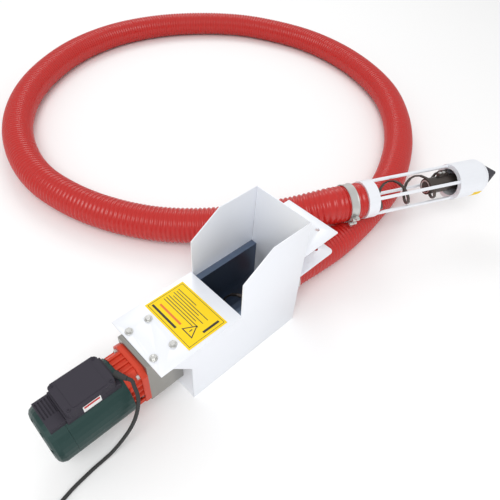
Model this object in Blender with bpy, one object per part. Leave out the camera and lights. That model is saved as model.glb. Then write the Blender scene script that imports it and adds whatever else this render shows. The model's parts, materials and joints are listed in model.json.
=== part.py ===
"""Hose grain auger: geared motor, sheet-steel discharge box, ribbed hose, caged intake head.

Metres, +Z up. The origin is on the ground under the middle of the discharge box, and +X runs
along the auger from the motor to the hose. Each moving group hangs from an empty on its axis.
"""

import math

import bmesh
import bpy
from mathutils import Matrix, Vector

GAP = 0.0003  # air between faces that touch on the real machine

# Discharge box
SHEET = 0.002
BOX_LENGTH = 0.270
BOX_WIDTH = 0.136
COVER_TOP_Z = 0.149
COVER_OVERHANG = 0.002
TONGUE_LENGTH = 0.061
GUSSET_LENGTH = 0.040
LABEL_X = -0.092
LABEL_LENGTH = 0.084
LABEL_WIDTH = 0.123
LABEL_THICKNESS = 0.0004
GUSSET_DEPTH = 0.046
HOOD_FRONT_X = -0.0227
HOOD_CORNER_Z = 0.230
HOOD_CORNER_RUN = 0.067
HOOD_TOP_Z = 0.2735
HOOD_BEND_Z = 0.137
HOOD_LEAN = 0.004

# Drive line
AXIS_Z = 0.058
GEAR_MODULE = 0.001
PINION_TEETH = 14
GEAR_TEETH = 42
GEAR_WIDTH = 0.010
OUTPUT_SHAFT_R = 0.0075
HUB_R = 0.0195
HUB_LENGTH = 0.050
HUB_KEY_LENGTH = 0.026
HUB_KEY_WIDTH = 0.012
BLOCK_BEARING_R = 0.016
BLOCK_BEARING_WIDTH = 0.009
SPIRAL_R = 0.032
STRIP_HEIGHT = 0.0035
STRIP_WIDTH = 0.0065
SPIRAL_PITCH = 0.073
STRIP_STEPS = 14  # flats in one turn of the strip

# Trough
TROUGH_R = 0.052
TROUGH_WALL = 0.0015
TROUGH_LIP_Z = 0.137

# Outlet pipe, hose and lugs
PIPE_R = 0.0372
PIPE_WALL = 0.0025
PIPE_LENGTH = 0.012
HOSE_R = 0.042
HOSE_STEP = 0.066
HOSE_END_GAP = 0.0008  # at the hose's end faces, which are not quite square
BAND_WIDTH = 0.020
BAND_WALL = 0.0008
BAND_CLEARANCE = 0.0012
BAND_BOLT_R = 0.003
BAND_BOLT_LENGTH = 0.030
UPPER_LUG_LENGTH = 0.104
UPPER_LUG_WIDTH = 0.132
UPPER_LUG_Z = 0.186
LOWER_LUG_LENGTH = 0.113
LOWER_LUG_WIDTH = 0.125
LOWER_LUG_Z = 0.125
LUG_THICKNESS = 0.003
LUG_CORNER = 0.010
LUG_HOLE_R = 0.005
LUG_HOLE_FROM_EDGE = 0.025
LUG_HOLE_Y = 0.0335

# Bearing block and gear housing
BLOCK_LENGTH = 0.0685
BLOCK_HALF_WIDTH = 0.0406
BLOCK_BOTTOM_Z = 0.033
BLOCK_TOP_CHAMFER = 0.0012
BLOCK_LOWER_CHAMFER = 0.012
BOLT_PITCH_X = 0.039
BOLT_PITCH_Y = 0.0690
BOLT_FROM_BOX = 0.0305
BOLT_R = 0.003
BOLT_HEAD_R = 0.0058
BOLT_LENGTH = 0.012
WASHER_R = 0.0072
FLANGE_THICKNESS = 0.011
FLANGE_HALF_WIDTH = 0.042
FLANGE_BOTTOM_Z = 0.030
FLANGE_TOP_Z = 0.140
FLANGE_CHAMFER = 0.014
FLANGE_LOWER_CHAMFER = 0.024
NECK_LENGTH = 0.023
NECK_INSET = 0.006
HOUSING_WALL = 0.0045
GEAR_ROOM_R = 0.0235
RIB_WIDTH = 0.003
RIB_HEIGHT = 0.0045
RIBS_PER_SIDE = 4
FLANGE_BOLT_R = 0.0025
FLANGE_BOLT_HEAD_R = 0.0045

# Motor
MOTOR_R = 0.051
MOTOR_WALL = 0.003
MOTOR_LENGTH = 0.102
END_CAP_LENGTH = 0.0325
SHIELD_THICKNESS = 0.006
ROTOR_R = 0.0275
ROTOR_FROM_REAR = 0.022
ROTOR_FROM_FRONT = 0.024
AIR_GAP = 0.0006
SHAFT_R = 0.008
SHAFT_NOSE_R = 0.0026
MOTOR_BEARING_R = 0.015
MOTOR_BEARING_WIDTH = 0.008
FAN_R = 0.040
FAN_BLADES = 9
VENT_COUNT = 8

# Control box on the motor
CONTROL_HALF = 0.031
CONTROL_TOP_CHAMFER = 0.002
CONTROL_LENGTH = 0.083
CONTROL_LEDGE = 0.006
CONTROL_REAR_LEDGE = 0.003
CONTROL_SPLIT_Z = 0.1397
CONTROL_TOP_Z = 0.154
CONTROL_WALL = 0.0022
REAR_HOOD_HALF = 0.028
REAR_HOOD_TOP_Z = 0.1405
REAR_HOOD_LENGTH = 0.025
REAR_HOOD_SLOTS = 5

# Intake head
INTAKE_Z = 0.131
COLLAR_R = 0.044
COLLAR_LENGTH = 0.028
BAND_FROM_COLLAR = 0.034
CAGE_LENGTH = 0.2200
ROD_R = 0.004
ROD_COUNT = 4
ROD_PHASE = math.radians(54.5)
ROD_INSET = 0.0015
CAP_LENGTH = 0.095
CAP_WALL = 0.003
CAP_NOSE_R = 0.0280
CONE_LENGTH = 0.050
END_HUB_LENGTH = 0.083
SPIRAL_END = 0.007  # the spiral stops this far short of the cap
INTAKE_SPIRAL_PHASE = math.radians(18)
END_SHAFT_R = 0.010

# Mains lead
CABLE_R = 0.0032
GLAND_LENGTH = 0.022
COIL_TURN_R = 0.0385
COIL_HALF_WIDTH = 0.0105
COIL_HEIGHT = 0.0205
PLUG_LENGTH = 0.040
PLUG_TAIL_LENGTH = 0.030  # reaches back to the coil

# Places worked out from the sizes above
MOTOR_Z = AXIS_Z + GEAR_MODULE * (PINION_TEETH + GEAR_TEETH) / 2
BOX_MOTOR_X = -BOX_LENGTH / 2
BOX_HOSE_X = BOX_LENGTH / 2
COVER_UNDER_Z = COVER_TOP_Z - SHEET
WALL_TOP_Z = COVER_UNDER_Z - GAP
COVER_HALF = BOX_WIDTH / 2 + COVER_OVERHANG
BLOCK_REAR_X = BOX_MOTOR_X - GAP - BLOCK_LENGTH
FLANGE_FRONT_X = BLOCK_REAR_X - GAP
FLANGE_REAR_X = FLANGE_FRONT_X - FLANGE_THICKNESS
NECK_REAR_X = FLANGE_REAR_X - NECK_LENGTH
MOTOR_FRONT_X = NECK_REAR_X - GAP
MOTOR_REAR_X = MOTOR_FRONT_X - MOTOR_LENGTH
GEAR_REAR_X = FLANGE_FRONT_X - 0.0235
CONTROL_FRONT_X = MOTOR_FRONT_X - 0.0126
CONTROL_REAR_X = CONTROL_FRONT_X - CONTROL_LENGTH
DRIVE_HUB_X = BOX_MOTOR_X + 0.006
STRIP_FLAT_R = (SPIRAL_R - STRIP_HEIGHT) * math.cos(math.pi / STRIP_STEPS) - GAP  # under the strip's flats
KEY_TOP_R = math.sqrt(STRIP_FLAT_R**2 - (HUB_KEY_WIDTH / 2) ** 2)
ROTOR_X = MOTOR_REAR_X + ROTOR_FROM_REAR
ROTOR_LENGTH = MOTOR_LENGTH - ROTOR_FROM_REAR - ROTOR_FROM_FRONT

# The hose lies on the ground in one open loop and climbs over itself to the intake head.
HOSE_ROUTE = (
    (BOX_HOSE_X + PIPE_LENGTH + HOSE_END_GAP, 0.0, AXIS_Z),
    (BOX_HOSE_X + 0.035, 0.0, AXIS_Z),
    (BOX_HOSE_X + 0.062, 0.0, AXIS_Z),
    (0.255, -0.003, 0.054),
    (0.333, -0.003, 0.0465),
    (0.410, 0.003, 0.0425),
    (0.500, 0.015, 0.0422),
    (0.618, 0.040, 0.0422),
    (0.737, 0.088, 0.0422),
    (0.850, 0.151, 0.0422),
    (0.962, 0.238, 0.0422),
    (1.066, 0.352, 0.0422),
    (1.145, 0.500, 0.0422),
    (1.190, 0.665, 0.0422),
    (1.193, 0.828, 0.0422),
    (1.154, 0.973, 0.0422),
    (1.083, 1.106, 0.0422),
    (0.967, 1.215, 0.0422),
    (0.805, 1.300, 0.0422),
    (0.620, 1.330, 0.0422),
    (0.435, 1.297, 0.0422),
    (0.270, 1.213, 0.0422),
    (0.130, 1.095, 0.0422),
    (0.024, 0.947, 0.0422),
    (-0.035, 0.797, 0.0422),
    (-0.054, 0.660, 0.0422),
    (-0.036, 0.534, 0.0422),
    (0.003, 0.427, 0.0422),
    (0.058, 0.332, 0.0445),
    (0.118, 0.256, 0.052),
    (0.184, 0.188, 0.066),
    (0.241, 0.1290, 0.086),
    (0.2800, 0.0865, 0.1055),
    (0.3120, 0.0558, 0.1215),
    (0.3434, 0.0330, INTAKE_Z),
    (0.3662, 0.0219, INTAKE_Z),
    (0.3890, 0.0117, INTAKE_Z),
    (0.4164, -0.0006, INTAKE_Z),
)

GLAND_PLACE = (CONTROL_FRONT_X + 0.0061, -0.0150, 0.1465)
GLAND_TURN = math.radians(-65)
CABLE_ROUTE = (
    (-0.2345, -0.0530, 0.1435),
    (-0.2362, -0.0612, 0.1355),
    (-0.2390, -0.0660, 0.1245),
    (-0.2428, -0.0678, 0.1115),
    (-0.2477, -0.0682, 0.0960),
    (-0.2545, -0.0676, 0.0785),
    (-0.2640, -0.0658, 0.0600),
    (-0.2765, -0.0625, 0.0400),
    (-0.2900, -0.0588, 0.0220),
    (-0.3045, -0.0563, 0.0095),
    (-0.3190, -0.0552, 0.0045),
    (-0.3345, -0.0556, 0.0036),
    (-0.3549, -0.0576, 0.0036),
    (-0.3763, -0.0604, 0.0036),
    (-0.4003, -0.0655, 0.0036),
    (-0.4150, -0.0715, 0.0036),
)
COIL_PLACE = (-0.4475, -0.1160)
PLUG_PLACE = (-0.4800, -0.1750, 0.0105)
PLUG_TURN = math.radians(-70)


def clear_scene():
    for old in list(bpy.data.objects):
        bpy.data.objects.remove(old, do_unlink=True)


def paint(name, colour, roughness, metallic=0.0):
    material = bpy.data.materials.new(name)
    material.use_nodes = True
    shader = material.node_tree.nodes["Principled BSDF"]
    shader.inputs["Base Color"].default_value = (*colour, 1.0)
    shader.inputs["Roughness"].default_value = roughness
    shader.inputs["Metallic"].default_value = metallic
    return material


def add_object(name, data, material, parent=None, place=(0, 0, 0), turn=(0, 0, 0)):
    thing = bpy.data.objects.new(name, data)
    bpy.context.scene.collection.objects.link(thing)
    thing.location = place
    thing.rotation_euler = turn
    thing.parent = parent
    if material is not None:
        data.materials.append(material)
    return thing


def add_axis(name, place, turn=(0, 0, 0)):
    axis = bpy.data.objects.new(name, None)
    bpy.context.scene.collection.objects.link(axis)
    axis.location = place
    axis.rotation_euler = turn
    return axis


def mesh_from(name, build):
    """Runs build on a new bmesh and returns it as a mesh with its faces pointing out."""
    shape = bmesh.new()
    build(shape)
    bmesh.ops.recalc_face_normals(shape, faces=shape.faces)
    mesh = bpy.data.meshes.new(name)
    shape.to_mesh(mesh)
    shape.free()
    return mesh


def smooth(mesh, degrees=35):
    mesh.shade_smooth()
    mesh.set_sharp_from_angle(angle=math.radians(degrees))
    return mesh


def turned_mesh(name, profile, sides=24):
    """A profile of (x, radius) points turned about X. Points on the axis close its ends."""

    def build(shape):
        rings = []
        for x, radius in profile:
            if radius == 0:
                rings.append([shape.verts.new((x, 0, 0))])
                continue
            angles = [2 * math.pi * k / sides for k in range(sides)]
            rings.append([shape.verts.new((x, radius * math.cos(a), radius * math.sin(a))) for a in angles])
        pairs = list(zip(rings, rings[1:]))
        if profile[0][1] > 0:
            pairs.append((rings[-1], rings[0]))
        for first, second in pairs:
            for k in range(sides):
                corners = [first[k % len(first)], first[(k + 1) % len(first)]]
                corners += [second[(k + 1) % len(second)], second[k % len(second)]]
                shape.faces.new(list(dict.fromkeys(corners)))

    return smooth(mesh_from(name, build))


def turned(name, profile, material, parent=None, place=(0, 0, 0), turn=(0, 0, 0), sides=24):
    return add_object(name, turned_mesh(name, profile, sides), material, parent, place, turn)


def rod_profile(start, end, radius):
    return ((start, 0), (start, radius), (end, radius), (end, 0))


def ring_profile(start, end, inner, outer):
    return ((start, inner), (start, outer), (end, outer), (end, inner))


def prism_mesh(name, outline, low, high, plane):
    """A flat outline pushed out along the axis that its plane leaves free."""
    place = {
        "XZ": lambda a, b, depth: (a, depth, b),
        "YZ": lambda a, b, depth: (depth, a, b),
        "XY": lambda a, b, depth: (a, b, depth),
    }[plane]

    def build(shape):
        base = [shape.verts.new(place(a, b, low)) for a, b in outline]
        face = shape.faces.new(base)
        pushed = bmesh.ops.extrude_face_region(shape, geom=[face])
        moved = [item for item in pushed["geom"] if isinstance(item, bmesh.types.BMVert)]
        step = Vector(place(0, 0, high)) - Vector(place(0, 0, low))
        bmesh.ops.translate(shape, verts=moved, vec=step)

    return mesh_from(name, build)


def prism(name, outline, low, high, plane, material, parent=None, place=(0, 0, 0), turn=(0, 0, 0)):
    return add_object(name, prism_mesh(name, outline, low, high, plane), material, parent, place, turn)


def block_outline(a_low, a_high, b_low, b_high, chamfer=0.0):
    if chamfer == 0:
        return ((a_low, b_low), (a_high, b_low), (a_high, b_high), (a_low, b_high))
    return (
        (a_low + chamfer, b_low),
        (a_high - chamfer, b_low),
        (a_high, b_low + chamfer),
        (a_high, b_high - chamfer),
        (a_high - chamfer, b_high),
        (a_low + chamfer, b_high),
        (a_low, b_high - chamfer),
        (a_low, b_low + chamfer),
    )


def cut(thing, name, mesh, place=(0, 0, 0), turn=(0, 0, 0), operation="DIFFERENCE"):
    """Cuts a hidden helper's shape from a piece, or joins it on."""
    helper = add_object(name, mesh, None, None, place, turn)
    helper.hide_render = True
    helper.display_type = "WIRE"
    helper.parent = thing.parent
    modifier = thing.modifiers.new(name, "BOOLEAN")
    modifier.operation = operation
    modifier.solver = "EXACT"
    modifier.object = helper
    return helper


def bore(thing, name, start, end, radius, place, turn=(0, 0, 0), sides=24):
    cut(thing, name, turned_mesh(name, rod_profile(start, end, radius), sides), place, turn)


UPRIGHT = (0, -math.pi / 2, 0)  # turns a piece made along X to stand along Z


def curve_points(route, step):
    """Points a step apart along a smooth curve through the route's own points."""
    knots = [Vector(point) for point in route]
    knots = [2 * knots[0] - knots[1], *knots, 2 * knots[-1] - knots[-2]]
    fine = []
    for p0, p1, p2, p3 in zip(knots, knots[1:], knots[2:], knots[3:]):
        t1 = (p1 - p0).length ** 0.5
        t2 = t1 + (p2 - p1).length ** 0.5
        t3 = t2 + (p3 - p2).length ** 0.5
        for k in range(24):
            t = t1 + (t2 - t1) * k / 24
            a1 = p0 * (t1 - t) / t1 + p1 * t / t1
            a2 = p1 * (t2 - t) / (t2 - t1) + p2 * (t - t1) / (t2 - t1)
            a3 = p2 * (t3 - t) / (t3 - t2) + p3 * (t - t2) / (t3 - t2)
            b1 = a1 * (t2 - t) / t2 + a2 * t / t2
            b2 = a2 * (t3 - t) / (t3 - t1) + a3 * (t - t1) / (t3 - t1)
            fine.append(b1 * (t2 - t) / (t2 - t1) + b2 * (t - t1) / (t2 - t1))
    fine.append(knots[-2])
    lengths = [0.0]
    for first, second in zip(fine, fine[1:]):
        lengths.append(lengths[-1] + (second - first).length)
    count = max(2, round(lengths[-1] / step))
    points = []
    at = 0
    for k in range(count + 1):
        wanted = lengths[-1] * k / count
        while at < len(lengths) - 2 and lengths[at + 1] < wanted:
            at += 1
        share = (wanted - lengths[at]) / (lengths[at + 1] - lengths[at])
        points.append(fine[at].lerp(fine[at + 1], share))
    return points


def tube(name, points, radius, resolution, material):
    curve = bpy.data.curves.new(name, "CURVE")
    curve.dimensions = "3D"
    curve.bevel_depth = radius
    curve.bevel_resolution = resolution
    curve.use_fill_caps = True
    spline = curve.splines.new("POLY")
    spline.points.add(len(points) - 1)
    for target, point in zip(spline.points, points):
        target.co = (*point, 1.0)
    return add_object(name, curve, material)


def helix_mesh(name, start, end, phase=0.0):
    """The flat strip wound right-handed about X, closed at both ends."""

    def build(shape):
        count = round((end - start) / SPIRAL_PITCH * STRIP_STEPS)
        inner = SPIRAL_R - STRIP_HEIGHT
        rings = []
        for k in range(count + 1):
            x = start + (end - start) * k / count
            angle = phase + 2 * math.pi * k / STRIP_STEPS
            corners = ((x, inner), (x, SPIRAL_R), (x + STRIP_WIDTH, SPIRAL_R), (x + STRIP_WIDTH, inner))
            rings.append([shape.verts.new((a, r * math.cos(angle), r * math.sin(angle))) for a, r in corners])
        for first, second in zip(rings, rings[1:]):
            for k in range(4):
                shape.faces.new((first[k], first[(k + 1) % 4], second[(k + 1) % 4], second[k]))
        shape.faces.new(rings[0])
        shape.faces.new(rings[-1])

    return smooth(mesh_from(name, build))


def gear_mesh(name, teeth, module, start, end, bore_radius, phase=0.0):
    """A spur gear about X. Its teeth taper from root to tip and leave backlash at the pitch line."""
    pitch_angle = 2 * math.pi / teeth
    root = module * (teeth / 2 - 1.25)
    tip = module * (teeth / 2 + 0.95)
    outline = []
    for k in range(teeth):
        middle = phase + k * pitch_angle
        for radius, share in ((root, -0.31), (tip, -0.10), (tip, 0.10), (root, 0.31)):
            angle = middle + share * pitch_angle
            outline.append((radius * math.cos(angle), radius * math.sin(angle)))

    def build(shape):
        count = len(outline)
        hole = [2 * math.pi * k / count + phase for k in range(count)]
        rings = []
        for x in (start, end):
            outer = [shape.verts.new((x, y, z)) for y, z in outline]
            inner = [shape.verts.new((x, bore_radius * math.cos(a), bore_radius * math.sin(a))) for a in hole]
            rings.append((outer, inner))
        (outer_low, inner_low), (outer_high, inner_high) = rings
        for k in range(count):
            j = (k + 1) % count
            shape.faces.new((outer_low[k], outer_low[j], outer_high[j], outer_high[k]))
            shape.faces.new((inner_low[k], inner_low[j], inner_high[j], inner_high[k]))
            shape.faces.new((outer_low[k], outer_low[j], inner_low[j], inner_low[k]))
            shape.faces.new((outer_high[k], outer_high[j], inner_high[j], inner_high[k]))

    return mesh_from(name, build)


def box_shell(white):
    """Both side walls and the floor, folded from one sheet and open at both ends and above."""
    outline = (
        (BOX_MOTOR_X, 0),
        (BOX_HOSE_X, 0),
        (BOX_HOSE_X, HOOD_BEND_Z),
        (BOX_HOSE_X + HOOD_LEAN, HOOD_TOP_Z),
        (HOOD_FRONT_X + HOOD_CORNER_RUN, HOOD_TOP_Z),
        (HOOD_FRONT_X, HOOD_CORNER_Z),
        (HOOD_FRONT_X, WALL_TOP_Z),
        (BOX_MOTOR_X - GUSSET_LENGTH, WALL_TOP_Z),
        (BOX_MOTOR_X, WALL_TOP_Z - GUSSET_DEPTH),
    )
    half = BOX_WIDTH / 2
    shell = prism("box_shell", outline, -half, half, "XZ", white)
    inside = block_outline(BOX_MOTOR_X - 0.1, BOX_HOSE_X + 0.1, SHEET, HOOD_TOP_Z + 0.1)
    cut(shell, "box_inside", prism_mesh("box_inside", inside, -half + SHEET, half - SHEET, "XZ"))


def end_walls(white):
    inside = BOX_WIDTH / 2 - SHEET - GAP
    floor_z = SHEET + GAP
    outline = (
        (BOX_HOSE_X - SHEET, floor_z),
        (BOX_HOSE_X, floor_z),
        (BOX_HOSE_X, HOOD_BEND_Z),
        (BOX_HOSE_X + HOOD_LEAN, HOOD_TOP_Z),
        (BOX_HOSE_X + HOOD_LEAN - SHEET, HOOD_TOP_Z),
        (BOX_HOSE_X - SHEET, HOOD_BEND_Z),
    )
    end_wall = prism("end_wall", outline, -inside, inside, "XZ", white)
    bore(end_wall, "end_wall_bore", BOX_HOSE_X - 0.02, BOX_HOSE_X + 0.02, PIPE_R + GAP, (0, 0, AXIS_Z))
    face = block_outline(-inside, inside, floor_z, WALL_TOP_Z)
    motor_wall = prism("motor_wall", face, BOX_MOTOR_X, BOX_MOTOR_X + SHEET, "YZ", white)
    shaft_hole = OUTPUT_SHAFT_R + 0.004
    bore(motor_wall, "motor_wall_bore", BOX_MOTOR_X - 0.02, BOX_MOTOR_X + 0.02, shaft_hole, (0, 0, AXIS_Z))


def bolt_places():
    rear = BOX_MOTOR_X - BOLT_FROM_BOX + BOLT_PITCH_X / 2
    return [
        (rear - BOLT_PITCH_X * i, BOLT_PITCH_Y * (j - 0.5))
        for i in range(2)
        for j in range(2)
    ]


def cover_plate(white):
    outline = block_outline(BOX_MOTOR_X - TONGUE_LENGTH, HOOD_FRONT_X - GAP, -COVER_HALF, COVER_HALF)
    cover = prism("cover_plate", outline, COVER_UNDER_Z, COVER_TOP_Z, "XY", white)
    for number, (x, y) in enumerate(bolt_places(), 1):
        bore(cover, f"cover_hole_{number}", -0.01, 0.01, BOLT_R + GAP, (x, y, COVER_TOP_Z), UPRIGHT, 16)


def cover_bolts(steel):
    """Each bolt with its washer: head above, shank down into the bearing block."""
    z = COVER_TOP_Z + GAP
    profile = (
        (z - BOLT_LENGTH, 0),
        (z - BOLT_LENGTH, BOLT_R),
        (z, BOLT_R),
        (z, WASHER_R),
        (z + 0.0012, WASHER_R),
        (z + 0.0012, BOLT_HEAD_R),
        (z + 0.0052, BOLT_HEAD_R),
        (z + 0.0052, 0),
    )
    for number, (x, y) in enumerate(bolt_places(), 1):
        turned(f"cover_bolt_{number}", profile, steel, None, (x, y, 0), UPRIGHT, 12)


def cover_label(yellow):
    z = COVER_TOP_Z + GAP
    outline = block_outline(LABEL_X - LABEL_LENGTH / 2, LABEL_X + LABEL_LENGTH / 2, -LABEL_WIDTH / 2, LABEL_WIDTH / 2)
    prism("cover_label", outline, z, z + LABEL_THICKNESS, "XY", yellow)


def trough(dark):
    """A U-shaped channel under the outlet, with a folded lip along each side wall."""
    lip = BOX_WIDTH / 2 - SHEET - GAP
    low_lip = TROUGH_LIP_Z - TROUGH_WALL

    def bend(radius):
        angles = [math.pi * k / 14 for k in range(15)]
        return [(radius * math.cos(a), AXIS_Z - radius * math.sin(a)) for a in angles]

    outer_r = TROUGH_R + TROUGH_WALL
    outline = [(lip, TROUGH_LIP_Z), (TROUGH_R, TROUGH_LIP_Z), *bend(TROUGH_R), (-TROUGH_R, TROUGH_LIP_Z)]
    outline += [(-lip, TROUGH_LIP_Z), (-lip, low_lip), (-outer_r, low_lip), *reversed(bend(outer_r))]
    outline += [(outer_r, low_lip), (lip, low_lip)]
    start = BOX_MOTOR_X + SHEET + GAP
    end = BOX_HOSE_X - SHEET - GAP
    prism("trough", outline, start, end, "YZ", dark)


def outlet_pipe(zinc):
    start = BOX_HOSE_X - SHEET
    profile = ring_profile(start, BOX_HOSE_X + PIPE_LENGTH, PIPE_R - PIPE_WALL, PIPE_R)
    turned("outlet_pipe", profile, zinc, None, (0, 0, AXIS_Z))


def lug(name, z, length, width, corner, white):
    """A flat plate on the end wall with two bolt holes, its outer corners cut by this much."""
    lean = HOOD_LEAN * max(0, z - HOOD_BEND_Z) / (HOOD_TOP_Z - HOOD_BEND_Z)
    start = BOX_HOSE_X + lean + GAP
    end = BOX_HOSE_X + length
    half = width / 2
    outline = [(start, -half)]
    for side in (-1, 1):
        for k in range(5):
            angle = math.radians(90 * k / 4)
            turned_x = end - corner + corner * (math.sin(angle) if side < 0 else math.cos(angle))
            turned_y = half - corner + corner * (math.cos(angle) if side < 0 else math.sin(angle))
            point = (turned_x, side * turned_y)
            if point != outline[-1]:
                outline.append(point)
    outline.append((start, half))
    plate = prism(name, outline, z - LUG_THICKNESS, z, "XY", white)
    for number, side in enumerate((-1, 1), 1):
        place = (end - LUG_HOLE_FROM_EDGE, side * LUG_HOLE_Y, z)
        bore(plate, f"{name}_hole_{number}", -0.02, 0.02, LUG_HOLE_R, place, UPRIGHT, 16)


def hose(red):
    tube("hose", curve_points(HOSE_ROUTE, HOSE_STEP), HOSE_R, 4, red)


def hose_band(name, middle, steel, parent, place, bolt_angle):
    """A clamp band round the hose and the bolt that draws it tight."""
    inner = HOSE_R + BAND_CLEARANCE
    profile = ring_profile(middle - BAND_WIDTH / 2, middle + BAND_WIDTH / 2, inner, inner + BAND_WALL)
    turned(f"{name}_band", profile, steel, parent, place, sides=32)
    bolt = (
        (0, 0),
        (0, BAND_BOLT_R),
        (BAND_BOLT_LENGTH - 0.005, BAND_BOLT_R),
        (BAND_BOLT_LENGTH - 0.005, BAND_BOLT_R + 0.0022),
        (BAND_BOLT_LENGTH, BAND_BOLT_R + 0.0022),
        (BAND_BOLT_LENGTH, 0),
    )
    mesh = turned_mesh(f"{name}_bolt", bolt, 12)
    radius = inner + BAND_WALL + BAND_BOLT_R + 0.0022 + GAP
    along_band = Matrix.Rotation(math.pi / 2, 4, "Z") @ Matrix.Translation((-BAND_BOLT_LENGTH / 2, 0, 0))
    seat = Matrix.Rotation(bolt_angle, 4, "X") @ Matrix.Translation((middle, 0, radius))
    mesh.transform(seat @ along_band)
    add_object(f"{name}_bolt", mesh, steel, parent, place)


def bearing_block(grey):
    top = COVER_UNDER_Z - GAP
    half = BLOCK_HALF_WIDTH
    low = BLOCK_LOWER_CHAMFER
    high = BLOCK_TOP_CHAMFER
    outline = (
        (-half + low, BLOCK_BOTTOM_Z),
        (half - low, BLOCK_BOTTOM_Z),
        (half, BLOCK_BOTTOM_Z + low),
        (half, top - high),
        (half - high, top),
        (-half + high, top),
        (-half, top - high),
        (-half, BLOCK_BOTTOM_Z + low),
    )
    end = BOX_MOTOR_X - GAP
    block = prism("bearing_block", outline, BLOCK_REAR_X, end, "YZ", grey)
    bore(block, "block_bore", BLOCK_REAR_X - 0.01, end + 0.01, BLOCK_BEARING_R + GAP, (0, 0, AXIS_Z))
    for number, (x, y) in enumerate(bolt_places(), 1):
        bore(block, f"block_hole_{number}", -0.02, 0.01, BOLT_R + GAP, (x, y, top), UPRIGHT, 16)
    for number, (y, z) in enumerate(flange_bolt_places(), 1):
        bore(block, f"flange_thread_{number}", -0.01, 0.012, FLANGE_BOLT_R + GAP, (BLOCK_REAR_X, y, z), sides=12)


def block_bearings(steel, rubber):
    for number, x in enumerate((BLOCK_REAR_X + 0.006, BOX_MOTOR_X - 0.022), 1):
        profile = ring_profile(x, x + BLOCK_BEARING_WIDTH, OUTPUT_SHAFT_R + GAP, BLOCK_BEARING_R)
        turned(f"block_bearing_{number}", profile, steel, None, (0, 0, AXIS_Z), sides=24)
    x = BOX_MOTOR_X - 0.010
    profile = ring_profile(x, x + 0.006, OUTPUT_SHAFT_R + GAP, BLOCK_BEARING_R)
    turned("shaft_seal", profile, rubber, None, (0, 0, AXIS_Z), sides=24)


def flange_bolt_places():
    """One low on the near side and one high on the far side, clear of the gears' room."""
    y = BLOCK_HALF_WIDTH - 0.009
    return ((-y, AXIS_Z + 0.006), (y, FLANGE_TOP_Z - 0.016))


def cut_corner_outline(half, bottom, top, upper, lower):
    return (
        (-half + lower, bottom),
        (half - lower, bottom),
        (half, bottom + lower),
        (half, top - upper),
        (half - upper, top),
        (-half + upper, top),
        (-half, top - upper),
        (-half, bottom + lower),
    )


def add_ribs(plain, shortest):
    """Square ribs standing out of each side of an outline that is longer than this."""
    outline = []
    for start, end in zip(plain, (*plain[1:], plain[0])):
        start, end = Vector(start), Vector(end)
        along = (end - start).normalized()
        out = Vector((along.y, -along.x)) * RIB_HEIGHT
        outline.append(tuple(start))
        length = (end - start).length
        if length < shortest or along.x > 0.99:
            continue
        for k in range(RIBS_PER_SIDE):
            middle = start + along * length * (k + 0.5) / RIBS_PER_SIDE
            before = middle - along * RIB_WIDTH / 2
            after = middle + along * RIB_WIDTH / 2
            outline += [tuple(before), tuple(before + out), tuple(after + out), tuple(after)]
    return outline


def gear_housing(orange):
    """Flange plate and ribbed neck in one casting, open towards the bearing block."""
    half = FLANGE_HALF_WIDTH
    cuts = (FLANGE_CHAMFER, FLANGE_LOWER_CHAMFER)
    plate = cut_corner_outline(half, FLANGE_BOTTOM_Z, FLANGE_TOP_Z, *cuts)
    housing = prism("gear_housing", plate, FLANGE_REAR_X, FLANGE_FRONT_X, "YZ", orange)
    neck = cut_corner_outline(half - NECK_INSET, FLANGE_BOTTOM_Z + 0.0005, FLANGE_TOP_Z - NECK_INSET, *cuts)
    ribbed = add_ribs(neck, FLANGE_CHAMFER * 1.5)
    neck_mesh = prism_mesh("neck", ribbed, NECK_REAR_X, FLANGE_REAR_X + 0.002, "YZ")
    cut(housing, "neck_join", neck_mesh, operation="UNION")
    room_start = NECK_REAR_X + HOUSING_WALL
    room_end = FLANGE_FRONT_X + 0.01
    bore(housing, "gear_room", room_start, room_end, GEAR_ROOM_R, (0, 0, AXIS_Z), sides=32)
    bore(housing, "pinion_room", room_start + 0.001, room_end, MOTOR_BEARING_R + GAP, (0, 0, MOTOR_Z), sides=28)
    seat = MOTOR_BEARING_R - 0.003
    bore(housing, "shaft_passage", NECK_REAR_X - 0.01, NECK_REAR_X + 0.01, seat, (0, 0, MOTOR_Z))
    for number, (y, z) in enumerate(flange_bolt_places(), 1):
        place = (FLANGE_REAR_X, y, z)
        bore(housing, f"flange_hole_{number}", -0.005, 0.03, FLANGE_BOLT_R + GAP, place, sides=12)
        bore(housing, f"flange_spot_{number}", -0.03, GAP, FLANGE_BOLT_HEAD_R + 0.001, place, sides=16)


def flange_bolts(steel):
    x = FLANGE_REAR_X
    profile = (
        (x - 0.004, 0),
        (x - 0.004, FLANGE_BOLT_HEAD_R),
        (x, FLANGE_BOLT_HEAD_R),
        (x, FLANGE_BOLT_R),
        (x + FLANGE_THICKNESS + 0.009, FLANGE_BOLT_R),
        (x + FLANGE_THICKNESS + 0.009, 0),
    )
    for number, (y, z) in enumerate(flange_bolt_places(), 1):
        turned(f"flange_bolt_{number}", profile, steel, None, (0, y, z), sides=6)


def motor_shell(green, shield_grey):
    axis = (0, 0, MOTOR_Z)
    profile = ring_profile(MOTOR_REAR_X, MOTOR_FRONT_X, MOTOR_R - MOTOR_WALL, MOTOR_R)
    turned("motor_shell", profile, green, None, axis, sides=32)
    inner = MOTOR_R - MOTOR_WALL - GAP
    end = MOTOR_FRONT_X - 0.001
    profile = ring_profile(end - SHIELD_THICKNESS, end, MOTOR_BEARING_R + GAP, inner)
    turned("front_shield", profile, shield_grey, None, axis, sides=32)


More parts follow.
